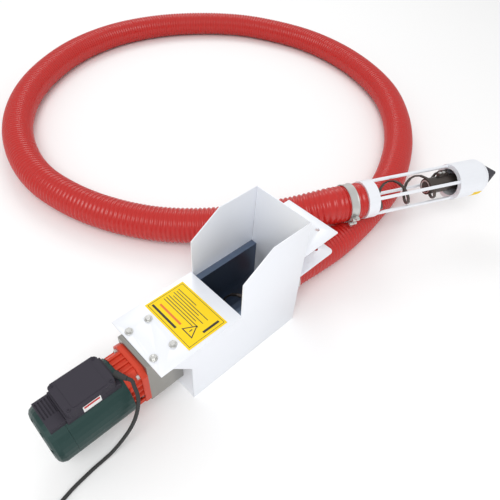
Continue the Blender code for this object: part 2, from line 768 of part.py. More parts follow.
def end_cap(green):
    """A domed rear cap with a ring of vent slots and a seat for the rear bearing."""
    front = MOTOR_REAR_X - GAP
    rear = front - END_CAP_LENGTH
    radius = MOTOR_R
    profile = (
        (front, radius - MOTOR_WALL),
        (front, radius),
        (rear + 0.012, radius),
        (rear + 0.005, radius - 0.003),
        (rear + 0.0015, radius - 0.008),
        (rear, radius - 0.015),
        (rear, 0),
        (rear + 0.0035, 0),
        (rear + 0.0035, radius - 0.016),
        (rear + 0.005, radius - 0.0105),
        (rear + 0.008, radius - 0.006),
        (rear + 0.0135, radius - MOTOR_WALL),
    )

    cap = turned("end_cap", profile_with_axis(profile), green, None, (0, 0, MOTOR_Z), sides=32)
    for k in range(VENT_COUNT):
        angle = 2 * math.pi * (k + 0.5) / VENT_COUNT
        slot = prism_mesh("vent", block_outline(-0.004, 0.004, 0.034, 0.0425), rear - 0.01, rear + 0.010, "YZ")
        cut(cap, f"vent_{k + 1}", slot, (0, 0, MOTOR_Z), (angle, 0, 0))


def profile_with_axis(profile):
    """Starts a closed profile that touches the axis at its first axis point."""
    first = next(k for k, (_, radius) in enumerate(profile) if radius == 0)
    turned_round = [*profile[first + 1 :], *profile[: first + 1]]
    return turned_round


def motor_inside(copper_steel, bearing_steel):
    axis = (0, 0, MOTOR_Z)
    inner = ROTOR_R + AIR_GAP
    outer = MOTOR_R - MOTOR_WALL - GAP
    profile = ring_profile(ROTOR_X, ROTOR_X + ROTOR_LENGTH, inner, outer)
    turned("stator", profile, copper_steel, None, axis, sides=32)
    front = MOTOR_FRONT_X - 0.001 - SHIELD_THICKNESS - 0.001
    profile = ring_profile(front, front + MOTOR_BEARING_WIDTH, SHAFT_R + GAP, MOTOR_BEARING_R)
    turned("front_bearing", profile, bearing_steel, None, axis, sides=24)
    rear = MOTOR_REAR_X + 0.004
    profile = ring_profile(rear, rear + MOTOR_BEARING_WIDTH, SHAFT_R + GAP, MOTOR_BEARING_R)
    turned("rear_bearing", profile, bearing_steel, None, axis, sides=24)
    profile = ring_profile(rear, rear + 0.004, MOTOR_BEARING_R + GAP, outer)
    turned("rear_spider", profile, bearing_steel, None, axis, sides=32)


def armature(parent, steel, core, plastic):
    """Everything that turns with the motor shaft. The parent empty is on the motor's axis."""
    rear = MOTOR_REAR_X - 0.014
    nose = GEAR_REAR_X + GEAR_WIDTH + 0.004
    shoulder = NECK_REAR_X + 0.002
    profile = (
        (rear, 0),
        (rear, SHAFT_R),
        (shoulder, SHAFT_R),
        (shoulder, SHAFT_NOSE_R),
        (nose, SHAFT_NOSE_R),
        (nose, 0),
    )
    turned("motor_shaft", profile, steel, parent, sides=20)
    profile = ring_profile(ROTOR_X, ROTOR_X + ROTOR_LENGTH, SHAFT_R + GAP, ROTOR_R)
    turned("rotor", profile, core, parent, sides=32)
    pinion = gear_mesh("pinion", PINION_TEETH, GEAR_MODULE, GEAR_REAR_X, GEAR_REAR_X + GEAR_WIDTH + 0.002,
                       SHAFT_NOSE_R + GAP, phase=math.pi / 2)
    add_object("pinion", pinion, steel, parent)
    fan_outline = []
    for k in range(FAN_BLADES):
        for share, radius in ((0.0, 0.013), (0.22, FAN_R), (0.46, FAN_R), (0.55, 0.013)):
            angle = 2 * math.pi * (k + share) / FAN_BLADES
            fan_outline.append((radius * math.cos(angle), radius * math.sin(angle)))
    fan_x = MOTOR_REAR_X - 0.011
    fan = prism("fan", fan_outline, fan_x, fan_x + 0.008, "YZ", plastic, parent)
    fan_bore = turned_mesh("fan_bore", rod_profile(fan_x - 0.01, fan_x + 0.02, SHAFT_R + GAP), 20)
    cut(fan, "fan_bore", fan_bore)


def add_hub_key(shaft, start, end, angle):
    """A raised key on a hub that the spiral's end turn is fixed to."""
    half = HUB_KEY_WIDTH / 2
    mesh = prism_mesh("hub_key", block_outline(HUB_R - 0.004, KEY_TOP_R, -half, half), start, end, "YZ")
    cut(shaft, f"{shaft.name}_key", mesh, turn=(angle, 0, 0), operation="UNION")


def output_group(parent, steel, spiral_steel):
    """Driven gear, output shaft with its hub, and the spiral that starts on the hub."""
    rear = GEAR_REAR_X - 0.002
    hub_end = DRIVE_HUB_X + HUB_LENGTH
    profile = (
        (rear, 0),
        (rear, OUTPUT_SHAFT_R),
        (DRIVE_HUB_X, OUTPUT_SHAFT_R),
        (DRIVE_HUB_X, HUB_R),
        (hub_end, HUB_R),
        (hub_end, 0),
    )
    shaft = turned("output_shaft", profile, steel, parent, sides=24)
    spiral_start = DRIVE_HUB_X + 0.004
    add_hub_key(shaft, spiral_start, spiral_start + HUB_KEY_LENGTH, 0.0)
    gear = gear_mesh("driven_gear", GEAR_TEETH, GEAR_MODULE, GEAR_REAR_X, GEAR_REAR_X + GEAR_WIDTH,
                     OUTPUT_SHAFT_R + GAP, phase=math.pi / 2 + math.pi / GEAR_TEETH)
    add_object("driven_gear", gear, steel, parent)
    end = BOX_HOSE_X + PIPE_LENGTH - STRIP_WIDTH
    strip = helix_mesh("drive_spiral", spiral_start, end)
    add_object("drive_spiral", strip, spiral_steel, parent)


def saddle_outline(half, top):
    """A flat-topped outline in YZ whose underside follows the motor."""
    radius = MOTOR_R + GAP
    reach = math.asin(half / radius)
    arc = [reach - 2 * reach * k / 12 for k in range(13)]
    under = [(radius * math.sin(a), MOTOR_Z + radius * math.cos(a)) for a in arc]
    return [(-half, top), (half, top), *under]


def control_box(black):
    """A saddle on the motor, its cover, and the slotted hood behind it."""
    base_front = CONTROL_FRONT_X + CONTROL_LEDGE
    base_rear = CONTROL_REAR_X - CONTROL_REAR_LEDGE
    prism("control_base", saddle_outline(CONTROL_HALF, CONTROL_SPLIT_Z), base_rear, base_front, "YZ", black)
    low = CONTROL_SPLIT_Z + GAP
    half = CONTROL_HALF
    bevel = CONTROL_TOP_CHAMFER
    shell = (
        (-half, low),
        (half, low),
        (half, CONTROL_TOP_Z - bevel),
        (half - bevel, CONTROL_TOP_Z),
        (-half + bevel, CONTROL_TOP_Z),
        (-half, CONTROL_TOP_Z - bevel),
    )
    cover = prism("control_cover", shell, CONTROL_REAR_X, CONTROL_FRONT_X, "YZ", black)
    wall = CONTROL_WALL
    room = block_outline(-half + wall, half - wall, low - 0.01, CONTROL_TOP_Z - wall)
    room_mesh = prism_mesh("control_room", room, CONTROL_REAR_X + wall, CONTROL_FRONT_X - wall, "YZ")
    cut(cover, "control_room", room_mesh)
    hood_front = base_rear - GAP
    hood_rear = hood_front - REAR_HOOD_LENGTH
    outline = saddle_outline(REAR_HOOD_HALF, REAR_HOOD_TOP_Z)
    hood = prism("rear_hood", outline, hood_rear, hood_front, "YZ", black)
    for k in range(REAR_HOOD_SLOTS):
        x = hood_rear + REAR_HOOD_LENGTH * (k + 0.7) / REAR_HOOD_SLOTS
        slot = block_outline(x - 0.0011, x + 0.0011, -0.008, REAR_HOOD_HALF - 0.004)
        mesh = prism_mesh("hood_slot", slot, REAR_HOOD_TOP_Z - 0.002, REAR_HOOD_TOP_Z + 0.01, "XY")
        cut(hood, f"hood_slot_{k + 1}", mesh)


def control_screws(black):
    z = CONTROL_TOP_Z + GAP
    profile = rod_profile(z, z + 0.0016, 0.0026)
    corners = [
        (x, side * (CONTROL_HALF - 0.005))
        for x in (CONTROL_REAR_X + 0.006, CONTROL_FRONT_X - 0.006)
        for side in (-1, 1)
    ]
    for number, (x, y) in enumerate(corners, 1):
        turned(f"control_screw_{number}", profile, black, None, (x, y, 0), UPRIGHT, 12)


def intake_head(parent, white, black, bearing_steel):
    """Collar, four rods and a cap round the spiral's free end. The parent stands at the hose's end."""
    collar_end = HOSE_END_GAP + COLLAR_LENGTH
    profile = ring_profile(HOSE_END_GAP, collar_end, PIPE_R - PIPE_WALL, COLLAR_R)
    collar = turned("intake_collar", profile, white, parent, sides=32)
    rod_start = collar_end - 0.010
    cap_x = collar_end + CAGE_LENGTH
    rod_end = cap_x + 0.010
    ring = COLLAR_R - ROD_R - ROD_INSET
    mouth_r = COLLAR_R - 2 * (ROD_R + ROD_INSET)
    profile = (
        (cap_x, mouth_r),
        (cap_x, COLLAR_R),
        (cap_x + CAP_LENGTH - 0.020, COLLAR_R),
        (cap_x + CAP_LENGTH - 0.006, COLLAR_R - 0.008),
        (cap_x + CAP_LENGTH, CAP_NOSE_R),
        (cap_x + CAP_LENGTH, 0),
        (cap_x + CAP_LENGTH - 0.004, 0),
        (cap_x + CAP_LENGTH - 0.004, CAP_NOSE_R - 0.003),
        (cap_x + CAP_LENGTH - 0.013, COLLAR_R - 0.010),
        (cap_x + CAP_LENGTH - 0.022, COLLAR_R - CAP_WALL),
        (cap_x + 0.014, COLLAR_R - CAP_WALL),
        (cap_x + 0.014, mouth_r),
    )
    mesh = turned_mesh("intake_cap", profile_with_axis(profile), 32)
    cap = add_object("intake_cap", mesh, white, parent)
    for k in range(ROD_COUNT):
        angle = ROD_PHASE + 2 * math.pi * k / ROD_COUNT
        place = (0, -ring * math.sin(angle), ring * math.cos(angle))
        turned(f"cage_rod_{k + 1}", rod_profile(rod_start, rod_end, ROD_R), white, parent, place, sides=12)
        socket = turned_mesh("rod_socket", rod_profile(rod_start - GAP, rod_end + GAP, ROD_R + GAP), 16)
        cut(collar, f"collar_socket_{k + 1}", socket, place)
        cut(cap, f"cap_socket_{k + 1}", socket, place)
    bearing_x = cap_x + 0.030
    profile = ring_profile(bearing_x, bearing_x + 0.014, END_SHAFT_R + GAP, COLLAR_R - CAP_WALL - GAP)
    turned("end_bearing", profile, bearing_steel, parent, sides=32)
    cone_x = cap_x + CAP_LENGTH + GAP
    profile = (
        (cone_x, 0),
        (cone_x, CAP_NOSE_R),
        (cone_x + 0.004, CAP_NOSE_R),
        (cone_x + CONE_LENGTH - 0.004, 0.004),
        (cone_x + CONE_LENGTH, 0),
    )
    turned("cone_tip", profile, black, parent, sides=32)


def intake_screw(parent, spiral_steel, hub_steel, bolt_steel):
    """The spiral's free end on its end shaft, turning inside the cage."""
    cap_x = HOSE_END_GAP + COLLAR_LENGTH + CAGE_LENGTH
    hub_end = cap_x + 0.016
    hub_start = hub_end - END_HUB_LENGTH
    shaft_end = cap_x + 0.050
    profile = (
        (hub_start, 0),
        (hub_start, HUB_R),
        (hub_end, HUB_R),
        (hub_end, END_SHAFT_R),
        (shaft_end, END_SHAFT_R),
        (shaft_end, 0),
    )
    shaft = turned("end_shaft", profile, hub_steel, parent, sides=24)
    start = 0.004
    end = cap_x - SPIRAL_END - STRIP_WIDTH
    strip = helix_mesh("intake_spiral", start, end, INTAKE_SPIRAL_PHASE)
    last_turns = round((end - start) / SPIRAL_PITCH * STRIP_STEPS) / STRIP_STEPS
    key_end = end + STRIP_WIDTH
    add_hub_key(shaft, key_end - HUB_KEY_LENGTH, key_end, INTAKE_SPIRAL_PHASE + 2 * math.pi * last_turns)
    add_object("intake_spiral", strip, spiral_steel, parent)


def mains_lead(black, rubber):
    profile = (
        (0, 0),
        (0, 0.0062),
        (0.004, 0.0062),
        (0.005, 0.0054),
        (GLAND_LENGTH, CABLE_R + 0.0006),
        (GLAND_LENGTH, 0),
    )
    turned("cable_gland", profile, rubber, None, GLAND_PLACE, (0, 0, GLAND_TURN), 16)
    along = Vector((math.cos(GLAND_TURN), math.sin(GLAND_TURN), 0))
    exit_point = Vector(GLAND_PLACE) + along * (GLAND_LENGTH + 2 * GAP)
    route = (exit_point, exit_point + along * 0.008, *(Vector(point) for point in CABLE_ROUTE))
    tube("cable", curve_points(route, 0.012), CABLE_R, 2, rubber)
    inner = COIL_TURN_R - COIL_HALF_WIDTH
    outer = COIL_TURN_R + COIL_HALF_WIDTH
    ring = ring_profile(GAP, GAP + COIL_HEIGHT, inner, outer)
    turned("cable_coil", ring, rubber, None, (*COIL_PLACE, 0), UPRIGHT, 32)


def plug(black):
    """A rubber plug with its tapered tail and two flat contact blades."""
    outline = (
        (0, -0.0045),
        (0.012, -0.006),
        (0.018, -0.016),
        (PLUG_LENGTH, -0.016),
        (PLUG_LENGTH, 0.016),
        (0.018, 0.016),
        (0.012, 0.006),
        (0, 0.0045),
    )
    low = PLUG_PLACE[2] - 0.0100
    high = PLUG_PLACE[2] + 0.0095
    place = (PLUG_PLACE[0], PLUG_PLACE[1], 0)
    turn = (0, 0, PLUG_TURN)
    body = prism("plug", outline, low, high, "XY", black, None, place, turn)
    tail = block_outline(-PLUG_TAIL_LENGTH, 0.002, -CABLE_R, CABLE_R)
    mesh = prism_mesh("plug_tail", tail, PLUG_PLACE[2] - CABLE_R, PLUG_PLACE[2] + CABLE_R, "XY")
    cut(body, "plug_tail_join", mesh, place, turn, operation="UNION")
    for number, side in enumerate((-1, 1), 1):
        blade = block_outline(PLUG_LENGTH - 0.004, PLUG_LENGTH + 0.018, side * 0.0065 - 0.00075,
                              side * 0.0065 + 0.00075)
        mesh = prism_mesh("plug_blade", blade, PLUG_PLACE[2] - 0.003, PLUG_PLACE[2] + 0.003, "XY")
        cut(body, f"plug_blade_{number}", mesh, place, turn, operation="UNION")


def main():
    clear_scene()
    white = paint("white_powder_coat", (0.80, 0.82, 0.86), 0.45)
    dark = paint("dark_trough_steel", (0.10, 0.13, 0.18), 0.5, 0.6)
    zinc = paint("zinc_plate", (0.62, 0.63, 0.65), 0.35, 1.0)
    steel = paint("machined_steel", (0.45, 0.45, 0.47), 0.35, 1.0)
    cast = paint("cast_grey", (0.30, 0.30, 0.29), 0.5, 0.7)
    orange = paint("orange_paint", (0.68, 0.05, 0.02), 0.4)
    green = paint("dark_green_paint", (0.010, 0.045, 0.040), 0.4)
    black = paint("black_plastic", (0.018, 0.017, 0.022), 0.5)
    rubber = paint("black_rubber", (0.03, 0.03, 0.03), 0.6)
    red = paint("red_hose", (0.45, 0.02, 0.015), 0.35)
    yellow = paint("yellow_label", (0.90, 0.60, 0.0), 0.5)
    spiral = paint("spring_steel", (0.10, 0.08, 0.07), 0.4, 0.9)
    core = paint("laminated_core", (0.25, 0.18, 0.14), 0.5, 0.6)

    box_shell(white)
    end_walls(white)
    cover_plate(white)
    cover_bolts(zinc)
    cover_label(yellow)
    trough(dark)
    outlet_pipe(zinc)
    lug("upper_lug", UPPER_LUG_Z, UPPER_LUG_LENGTH, UPPER_LUG_WIDTH, 0.001, white)
    lug("lower_lug", LOWER_LUG_Z, LOWER_LUG_LENGTH, LOWER_LUG_WIDTH, LUG_CORNER, white)
    hose(red)
    band_x = BOX_HOSE_X + 0.030
    hose_band("outlet", band_x, zinc, None, (0, 0, AXIS_Z), math.radians(-150))

    bearing_block(cast)
    block_bearings(steel, rubber)
    gear_housing(orange)
    flange_bolts(zinc)
    motor_shell(green, cast)
    end_cap(green)
    motor_inside(core, steel)
    control_box(black)
    control_screws(black)

    motor_axis = add_axis("motor_axis", (0, 0, MOTOR_Z))
    armature(motor_axis, steel, core, black)
    output_axis = add_axis("output_axis", (0, 0, AXIS_Z))
    output_group(output_axis, steel, spiral)

    end = Vector(HOSE_ROUTE[-1])
    heading = end - Vector(HOSE_ROUTE[-2])
    turn = (0, 0, math.atan2(heading.y, heading.x))
    intake_axis = add_axis("intake_axis", end, turn)
    intake_head(intake_axis, white, black, steel)
    hose_band("intake", -BAND_FROM_COLLAR, zinc, intake_axis, (0, 0, 0), math.radians(112))
    intake_screw(intake_axis, spiral, spiral, zinc)

    mains_lead(black, rubber)
    plug(black)


main()
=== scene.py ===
"""Looks of a hose grain auger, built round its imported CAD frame.

The file is laid out as an add-on: property groups hold the sizes and colours, one operator makes each
piece or group of like pieces, and a panel in the sidebar lists them. Metres, +Z up.
"""

import json
import math

import bmesh
import bpy
from bpy.props import FloatProperty, FloatVectorProperty, IntProperty, PointerProperty
from mathutils import Matrix, Vector

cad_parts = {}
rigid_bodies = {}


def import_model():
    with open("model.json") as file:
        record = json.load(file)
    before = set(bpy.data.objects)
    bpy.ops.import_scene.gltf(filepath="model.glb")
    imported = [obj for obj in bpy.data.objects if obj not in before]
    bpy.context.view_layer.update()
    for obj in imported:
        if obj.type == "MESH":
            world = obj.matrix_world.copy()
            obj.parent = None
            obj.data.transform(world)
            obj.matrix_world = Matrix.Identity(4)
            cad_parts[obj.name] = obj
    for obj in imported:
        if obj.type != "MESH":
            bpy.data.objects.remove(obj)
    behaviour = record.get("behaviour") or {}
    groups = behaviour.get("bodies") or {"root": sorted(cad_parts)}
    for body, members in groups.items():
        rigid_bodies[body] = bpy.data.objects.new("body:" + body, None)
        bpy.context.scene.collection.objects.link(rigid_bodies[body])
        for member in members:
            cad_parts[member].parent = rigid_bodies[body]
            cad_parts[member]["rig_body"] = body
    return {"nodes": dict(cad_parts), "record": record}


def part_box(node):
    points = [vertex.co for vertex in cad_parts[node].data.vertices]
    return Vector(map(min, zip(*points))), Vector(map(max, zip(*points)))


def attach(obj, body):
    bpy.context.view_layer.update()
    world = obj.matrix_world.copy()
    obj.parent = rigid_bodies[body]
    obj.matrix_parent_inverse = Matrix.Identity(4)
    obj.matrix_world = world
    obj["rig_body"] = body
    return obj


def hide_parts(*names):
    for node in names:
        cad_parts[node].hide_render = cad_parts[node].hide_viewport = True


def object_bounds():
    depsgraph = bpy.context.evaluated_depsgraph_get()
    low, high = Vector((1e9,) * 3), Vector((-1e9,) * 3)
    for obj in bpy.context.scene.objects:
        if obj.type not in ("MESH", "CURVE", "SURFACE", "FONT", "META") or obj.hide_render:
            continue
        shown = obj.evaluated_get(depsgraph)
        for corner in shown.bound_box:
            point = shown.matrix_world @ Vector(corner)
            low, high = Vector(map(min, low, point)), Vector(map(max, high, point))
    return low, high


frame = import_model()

bl_info = {
    "name": "Hose grain auger",
    "version": (1, 0, 0),
    "blender": (4, 5, 0),
    "location": "3D View > Sidebar > Auger",
    "description": "Builds the visible pieces and finishes of a hose grain auger on its frame",
    "category": "Object",
}

CAD_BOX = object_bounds()
NODES = frame["nodes"]
BODY_OF = {node.name: node["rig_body"] for node in NODES.values()}

WELD = 1e-5  # points nearer than this are one point
SKIN = 0.0002  # how far printed marks stand off the face they are on
HARD_EDGE = math.radians(40)  # an edge that turns further than this is eased
UPRIGHT = Matrix.Rotation(-math.pi / 2, 4, "Y")  # stands a solid turned about X up along +Z
LABEL_LOW, LABEL_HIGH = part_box("cover_label")
PIPE_LOW, PIPE_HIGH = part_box("outlet_pipe")
CONTROL_LOW, CONTROL_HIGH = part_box("control_cover")
AXIS_Z = (PIPE_LOW.z + PIPE_HIGH.z) / 2
END_WALL_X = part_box("lower_lug")[0].x

HOSE_D = 0.084
CABLE_D = 0.0064
INTAKE_Z = 0.131

# The hose leaves the box, lies on the ground in one open loop and climbs over itself to the intake head.
HOSE_ROUTE = (
    (END_WALL_X + 0.001, 0.0, AXIS_Z),
    (0.170, 0.0, AXIS_Z),
    (0.197, 0.0, AXIS_Z),
    (0.255, -0.003, 0.054),
    (0.333, -0.003, 0.0465),
    (0.410, 0.003, 0.0425),
    (0.500, 0.015, 0.0422),
    (0.618, 0.040, 0.0422),
    (0.737, 0.088, 0.0422),
    (0.850, 0.151, 0.0422),
    (0.962, 0.238, 0.0422),
    (1.066, 0.352, 0.0422),
    (1.145, 0.500, 0.0422),
    (1.190, 0.665, 0.0422),
    (1.193, 0.828, 0.0422),
    (1.154, 0.973, 0.0422),
    (1.083, 1.106, 0.0422),
    (0.967, 1.215, 0.0422),
    (0.805, 1.300, 0.0422),
    (0.620, 1.330, 0.0422),
    (0.435, 1.297, 0.0422),
    (0.270, 1.213, 0.0422),
    (0.130, 1.095, 0.0422),
    (0.024, 0.947, 0.0422),
    (-0.035, 0.797, 0.0422),
    (-0.054, 0.660, 0.0422),
    (-0.036, 0.534, 0.0422),
    (0.003, 0.427, 0.0422),
    (0.058, 0.332, 0.0445),
    (0.118, 0.256, 0.052),
    (0.184, 0.188, 0.066),
    (0.241, 0.1290, 0.086),
    (0.2800, 0.0865, 0.1055),
    (0.3120, 0.0558, 0.1215),
    (0.3434, 0.0330, INTAKE_Z),
    (0.3662, 0.0219, INTAKE_Z),
    (0.3890, 0.0117, INTAKE_Z),
    (0.4164, -0.0006, INTAKE_Z),
)

# The lead leaves its gland, drops down the motor's side and runs to a loose coil.
GLAND_EXIT = (-0.2353, -0.0355, 0.1465)
CABLE_ROUTE = (
    GLAND_EXIT,
    (-0.2320, -0.0427, 0.1465),
    (-0.2345, -0.0530, 0.1435),
    (-0.2362, -0.0612, 0.1355),
    (-0.2390, -0.0660, 0.1245),
    (-0.2428, -0.0678, 0.1115),
    (-0.2477, -0.0682, 0.0960),
    (-0.2545, -0.0676, 0.0785),
    (-0.2640, -0.0658, 0.0600),
    (-0.2765, -0.0625, 0.0400),
    (-0.2900, -0.0588, 0.0220),
    (-0.3045, -0.0563, 0.0095),
    (-0.3190, -0.0552, 0.0045),
    (-0.3345, -0.0556, 0.0036),
    (-0.3549, -0.0576, 0.0036),
    (-0.3763, -0.0604, 0.0036),
    (-0.4003, -0.0655, 0.0036),
)
PLUG_TAIL = (-0.4800, -0.1750, 0.0105)
PLUG_TURN = math.radians(-70)
COIL_CENTRE = (-0.4475, -0.1160)
COIL_OUTER_R = 0.0453
COIL_INNER_R = 0.0319
COIL_LAYER = 0.0067
COIL_FLOOR_Z = 0.0036
COIL_START = math.radians(80)

INTAKE_END = Vector(HOSE_ROUTE[-1])
INTAKE_HEADING = INTAKE_END - Vector(HOSE_ROUTE[-2])
INTAKE_AXES = Matrix.Translation(INTAKE_END) @ Matrix.Rotation(
    math.atan2(INTAKE_HEADING.y, INTAKE_HEADING.x), 4, "Z"
)
OUTLET_AXES = Matrix.Translation((0, 0, AXIS_Z))
CAP_X = 0.2488  # from the hose's end to the intake cap
COLLAR_R = 0.044
INTAKE_KEY_TURN = math.radians(69.4)  # where the spiral meets its hub
HOSE_GUIDE_STEP = 0.008  # between the points that guide the hose

LABEL_MARGIN = 0.0035  # from the label's edge to its printed border
# Each plain bar's near edge, thickness and two ends, from the corner of the border.
LABEL_BARS = (
    (0.0055, 0.0042, 0.046, 0.112),
    (0.0300, 0.0014, 0.030, 0.110),
    (0.0355, 0.0014, 0.022, 0.110),
    (0.0410, 0.0014, 0.034, 0.110),
    (0.0465, 0.0014, 0.022, 0.104),
    (0.0520, 0.0014, 0.040, 0.110),
    (0.0575, 0.0014, 0.022, 0.108),
    (0.0630, 0.0014, 0.060, 0.110),
)

FLOOR_REACH = 30.0
FLOOR_GAP = 0.0002  # the floor lies this far under the lowest point
KEY_PLACE = (-1.3, -1.1, 2.6)
RIM_PLACE = (1.6, 2.4, 2.4)
CAMERA_PLACE = (-0.3807, -0.4110, 0.8194)
CAMERA_ANGLES = (-46.96, 45.52, 4.15)  # azimuth, elevation and roll, in degrees


class HoseLook(bpy.types.PropertyGroup):
    """Sizes of the ribbed hose."""

    rib_pitch: FloatProperty(name="Rib pitch", description="From one rib to the next", default=0.0110,
                             unit="LENGTH")
    rib_depth: FloatProperty(name="Rib depth", description="How deep the grooves between ribs are",
                             default=0.0030, unit="LENGTH")
    step: FloatProperty(name="Step", description="Distance between the rings of the mesh", default=0.0020,
                        unit="LENGTH")
    sides: IntProperty(name="Sides", description="Faces round the hose", default=28, min=12)


class LeadLook(bpy.types.PropertyGroup):
    """Sizes of the mains lead."""

    step: FloatProperty(name="Step", description="Distance between the lead's points", default=0.0035,
                        unit="LENGTH")
    roundness: IntProperty(name="Roundness", description="Bevel resolution of the lead", default=3, min=2)


class EdgeLook(bpy.types.PropertyGroup):
    """How far hard edges are eased."""

    sheet: FloatProperty(name="Sheet metal", description="Easing on cut sheet edges", default=0.0006,
                         unit="LENGTH")
    casting: FloatProperty(name="Castings", description="Easing on cast and machined edges", default=0.0012,
                           unit="LENGTH")
    moulding: FloatProperty(name="Mouldings", description="Easing on moulded plastic edges", default=0.0022,
                            unit="LENGTH")


class PaintLook(bpy.types.PropertyGroup):
    """Main colours, as linear values."""

    white: FloatVectorProperty(name="White", description="Powder coat on the box and intake head",
                               default=(0.63, 0.65, 0.71), subtype="COLOR")
    red: FloatVectorProperty(name="Hose red", description="The hose's plastic", default=(0.21, 0.004, 0.004),
                             subtype="COLOR")
    orange: FloatVectorProperty(name="Orange", description="Paint on the gear housing",
                                default=(0.58, 0.018, 0.006), subtype="COLOR")
    green: FloatVectorProperty(name="Green", description="Paint on the motor",
                               default=(0.0045, 0.024, 0.020), subtype="COLOR")
    black: FloatVectorProperty(name="Black", description="Plastic of the control box",
                               default=(0.007, 0.006, 0.010), subtype="COLOR")
    yellow: FloatVectorProperty(name="Yellow", description="The warning label", default=(0.94, 0.66, 0.0),
                                subtype="COLOR")


class StageLook(bpy.types.PropertyGroup):
    """Floor, light and camera."""

    floor: FloatVectorProperty(name="Floor", description="Colour of the floor", default=(0.96, 0.96, 0.96),
                               subtype="COLOR")
    sky: FloatProperty(name="Sky", description="Strength of the even light from all round", default=0.74)
    key: FloatProperty(name="Key light", description="Power of the large soft light", default=40.0,
                       unit="POWER")
    lens: FloatProperty(name="Lens", description="Focal length for a 36 mm sensor, in millimetres",
                        default=34.1)


# Node helpers


def put(tree, kind, **settings):
    node = tree.nodes.new(kind)
    for key, value in settings.items():
        setattr(node, key, value)
    return node


def feed(tree, socket, value):
    """Links a socket, or sets a plain value."""
    if isinstance(value, bpy.types.NodeSocket):
        tree.links.new(value, socket)
    else:
        socket.default_value = value


def maths(tree, operation, *values):
    node = put(tree, "ShaderNodeMath", operation=operation)
    for socket, value in zip(node.inputs, values):
        feed(tree, socket, value)
    return node.outputs[0]


def mixed(tree, factor, first, second):
    node = put(tree, "ShaderNodeMix", data_type="RGBA")
    feed(tree, node.inputs[0], factor)
    feed(tree, node.inputs[6], first)
    feed(tree, node.inputs[7], second)
    return node.outputs[2]


def noise(tree, vector, scale, detail=3.0):
    node = put(tree, "ShaderNodeTexNoise")
    feed(tree, node.inputs["Vector"], vector)
    feed(tree, node.inputs["Scale"], scale)
    node.inputs["Detail"].default_value = detail
    return node.outputs["Fac"]


def spread(tree, value, low, high, new_low=0.0, new_high=1.0):
    node = put(tree, "ShaderNodeMapRange")
    for socket, setting in zip(node.inputs, (value, low, high, new_low, new_high)):
        feed(tree, socket, setting)
    return node.outputs[0]


def group(name, kind, inputs, outputs):
    """An empty node group with named sockets, and its input and output nodes."""
    tree = bpy.data.node_groups.new(name, kind)
    for label, socket, value in inputs:
        made = tree.interface.new_socket(label, in_out="INPUT", socket_type=socket)
        if value is not None:
            made.default_value = value
    for label, socket in outputs:
        tree.interface.new_socket(label, in_out="OUTPUT", socket_type=socket)
    return tree, tree.nodes.new("NodeGroupInput").outputs, tree.nodes.new("NodeGroupOutput").inputs


# Shader groups that several finishes share


def cloudy_tone():
    """Slow and fine changes of a colour's brightness, as batches of paint or plastic show."""
    tree, given, out = group(
        "Cloudy tone", "ShaderNodeTree",
        (("Vector", "NodeSocketVector", None), ("Color", "NodeSocketColor", None),
         ("Scale", "NodeSocketFloat", 12.0), ("Amount", "NodeSocketFloat", 0.1)),
        (("Color", "NodeSocketColor"),))
    slow = noise(tree, given["Vector"], given["Scale"])
    fine = noise(tree, given["Vector"], maths(tree, "MULTIPLY", given["Scale"], 9.0), 5.0)
    blend = maths(tree, "ADD", maths(tree, "MULTIPLY", slow, 0.7), maths(tree, "MULTIPLY", fine, 0.3))
    shade = spread(tree, blend, 0.35, 0.65, 1.0, 0.0)
    dark = put(tree, "ShaderNodeHueSaturation")
    feed(tree, dark.inputs["Color"], given["Color"])
    dark.inputs["Value"].default_value = 0.45
    feed(tree, out[0], mixed(tree, maths(tree, "MULTIPLY", shade, given["Amount"]), given["Color"],
                             dark.outputs[0]))
    return tree


def surface_grain():
    """A fine uneven skin: orange peel, cast sand or moulded texture by its scale and height."""
    tree, given, out = group(
        "Surface grain", "ShaderNodeTree",
        (("Vector", "NodeSocketVector", None), ("Scale", "NodeSocketFloat", 900.0),
         ("Height", "NodeSocketFloat", 0.00004)),
        (("Normal", "NodeSocketVector"),))
    bump = put(tree, "ShaderNodeBump")
    bump.inputs["Strength"].default_value = 1.0
    feed(tree, bump.inputs["Distance"], given["Height"])
    feed(tree, bump.inputs["Height"], noise(tree, given["Vector"], given["Scale"], 4.0))
    feed(tree, out[0], bump.outputs[0])
    return tree


def handled_gloss():
    """Roughness that is polished in places and scuffed in others."""
    tree, given, out = group(
        "Handled gloss", "ShaderNodeTree",
        (("Vector", "NodeSocketVector", None), ("Roughness", "NodeSocketFloat", 0.4),
         ("Spread", "NodeSocketFloat", 0.1)),
        (("Roughness", "NodeSocketFloat"),))
    patches = spread(tree, noise(tree, given["Vector"], 35.0, 6.0), 0.3, 0.7, -1.0, 1.0)
    change = maths(tree, "MULTIPLY", patches, given["Spread"])
    feed(tree, out[0], maths(tree, "ADD", given["Roughness"], change))
    return tree


def settled_dust():
    """Pale dust that lies in patches on faces that look up."""
    tree, given, out = group(
        "Settled dust", "ShaderNodeTree",
        (("Vector", "NodeSocketVector", None), ("Color", "NodeSocketColor", None),
         ("Dust", "NodeSocketColor", (0.42, 0.38, 0.31, 1)), ("Amount", "NodeSocketFloat", 0.1)),
        (("Color", "NodeSocketColor"),))
    facing = put(tree, "ShaderNodeSeparateXYZ")
    feed(tree, facing.inputs[0], put(tree, "ShaderNodeNewGeometry").outputs["Normal"])
    upward = spread(tree, facing.outputs[2], 0.2, 0.95)
    patches = spread(tree, noise(tree, given["Vector"], 28.0, 8.0), 0.4, 0.7)
    mask = maths(tree, "MULTIPLY", maths(tree, "MULTIPLY", upward, patches), given["Amount"])
    feed(tree, out[0], mixed(tree, mask, given["Color"], given["Dust"]))
    return tree


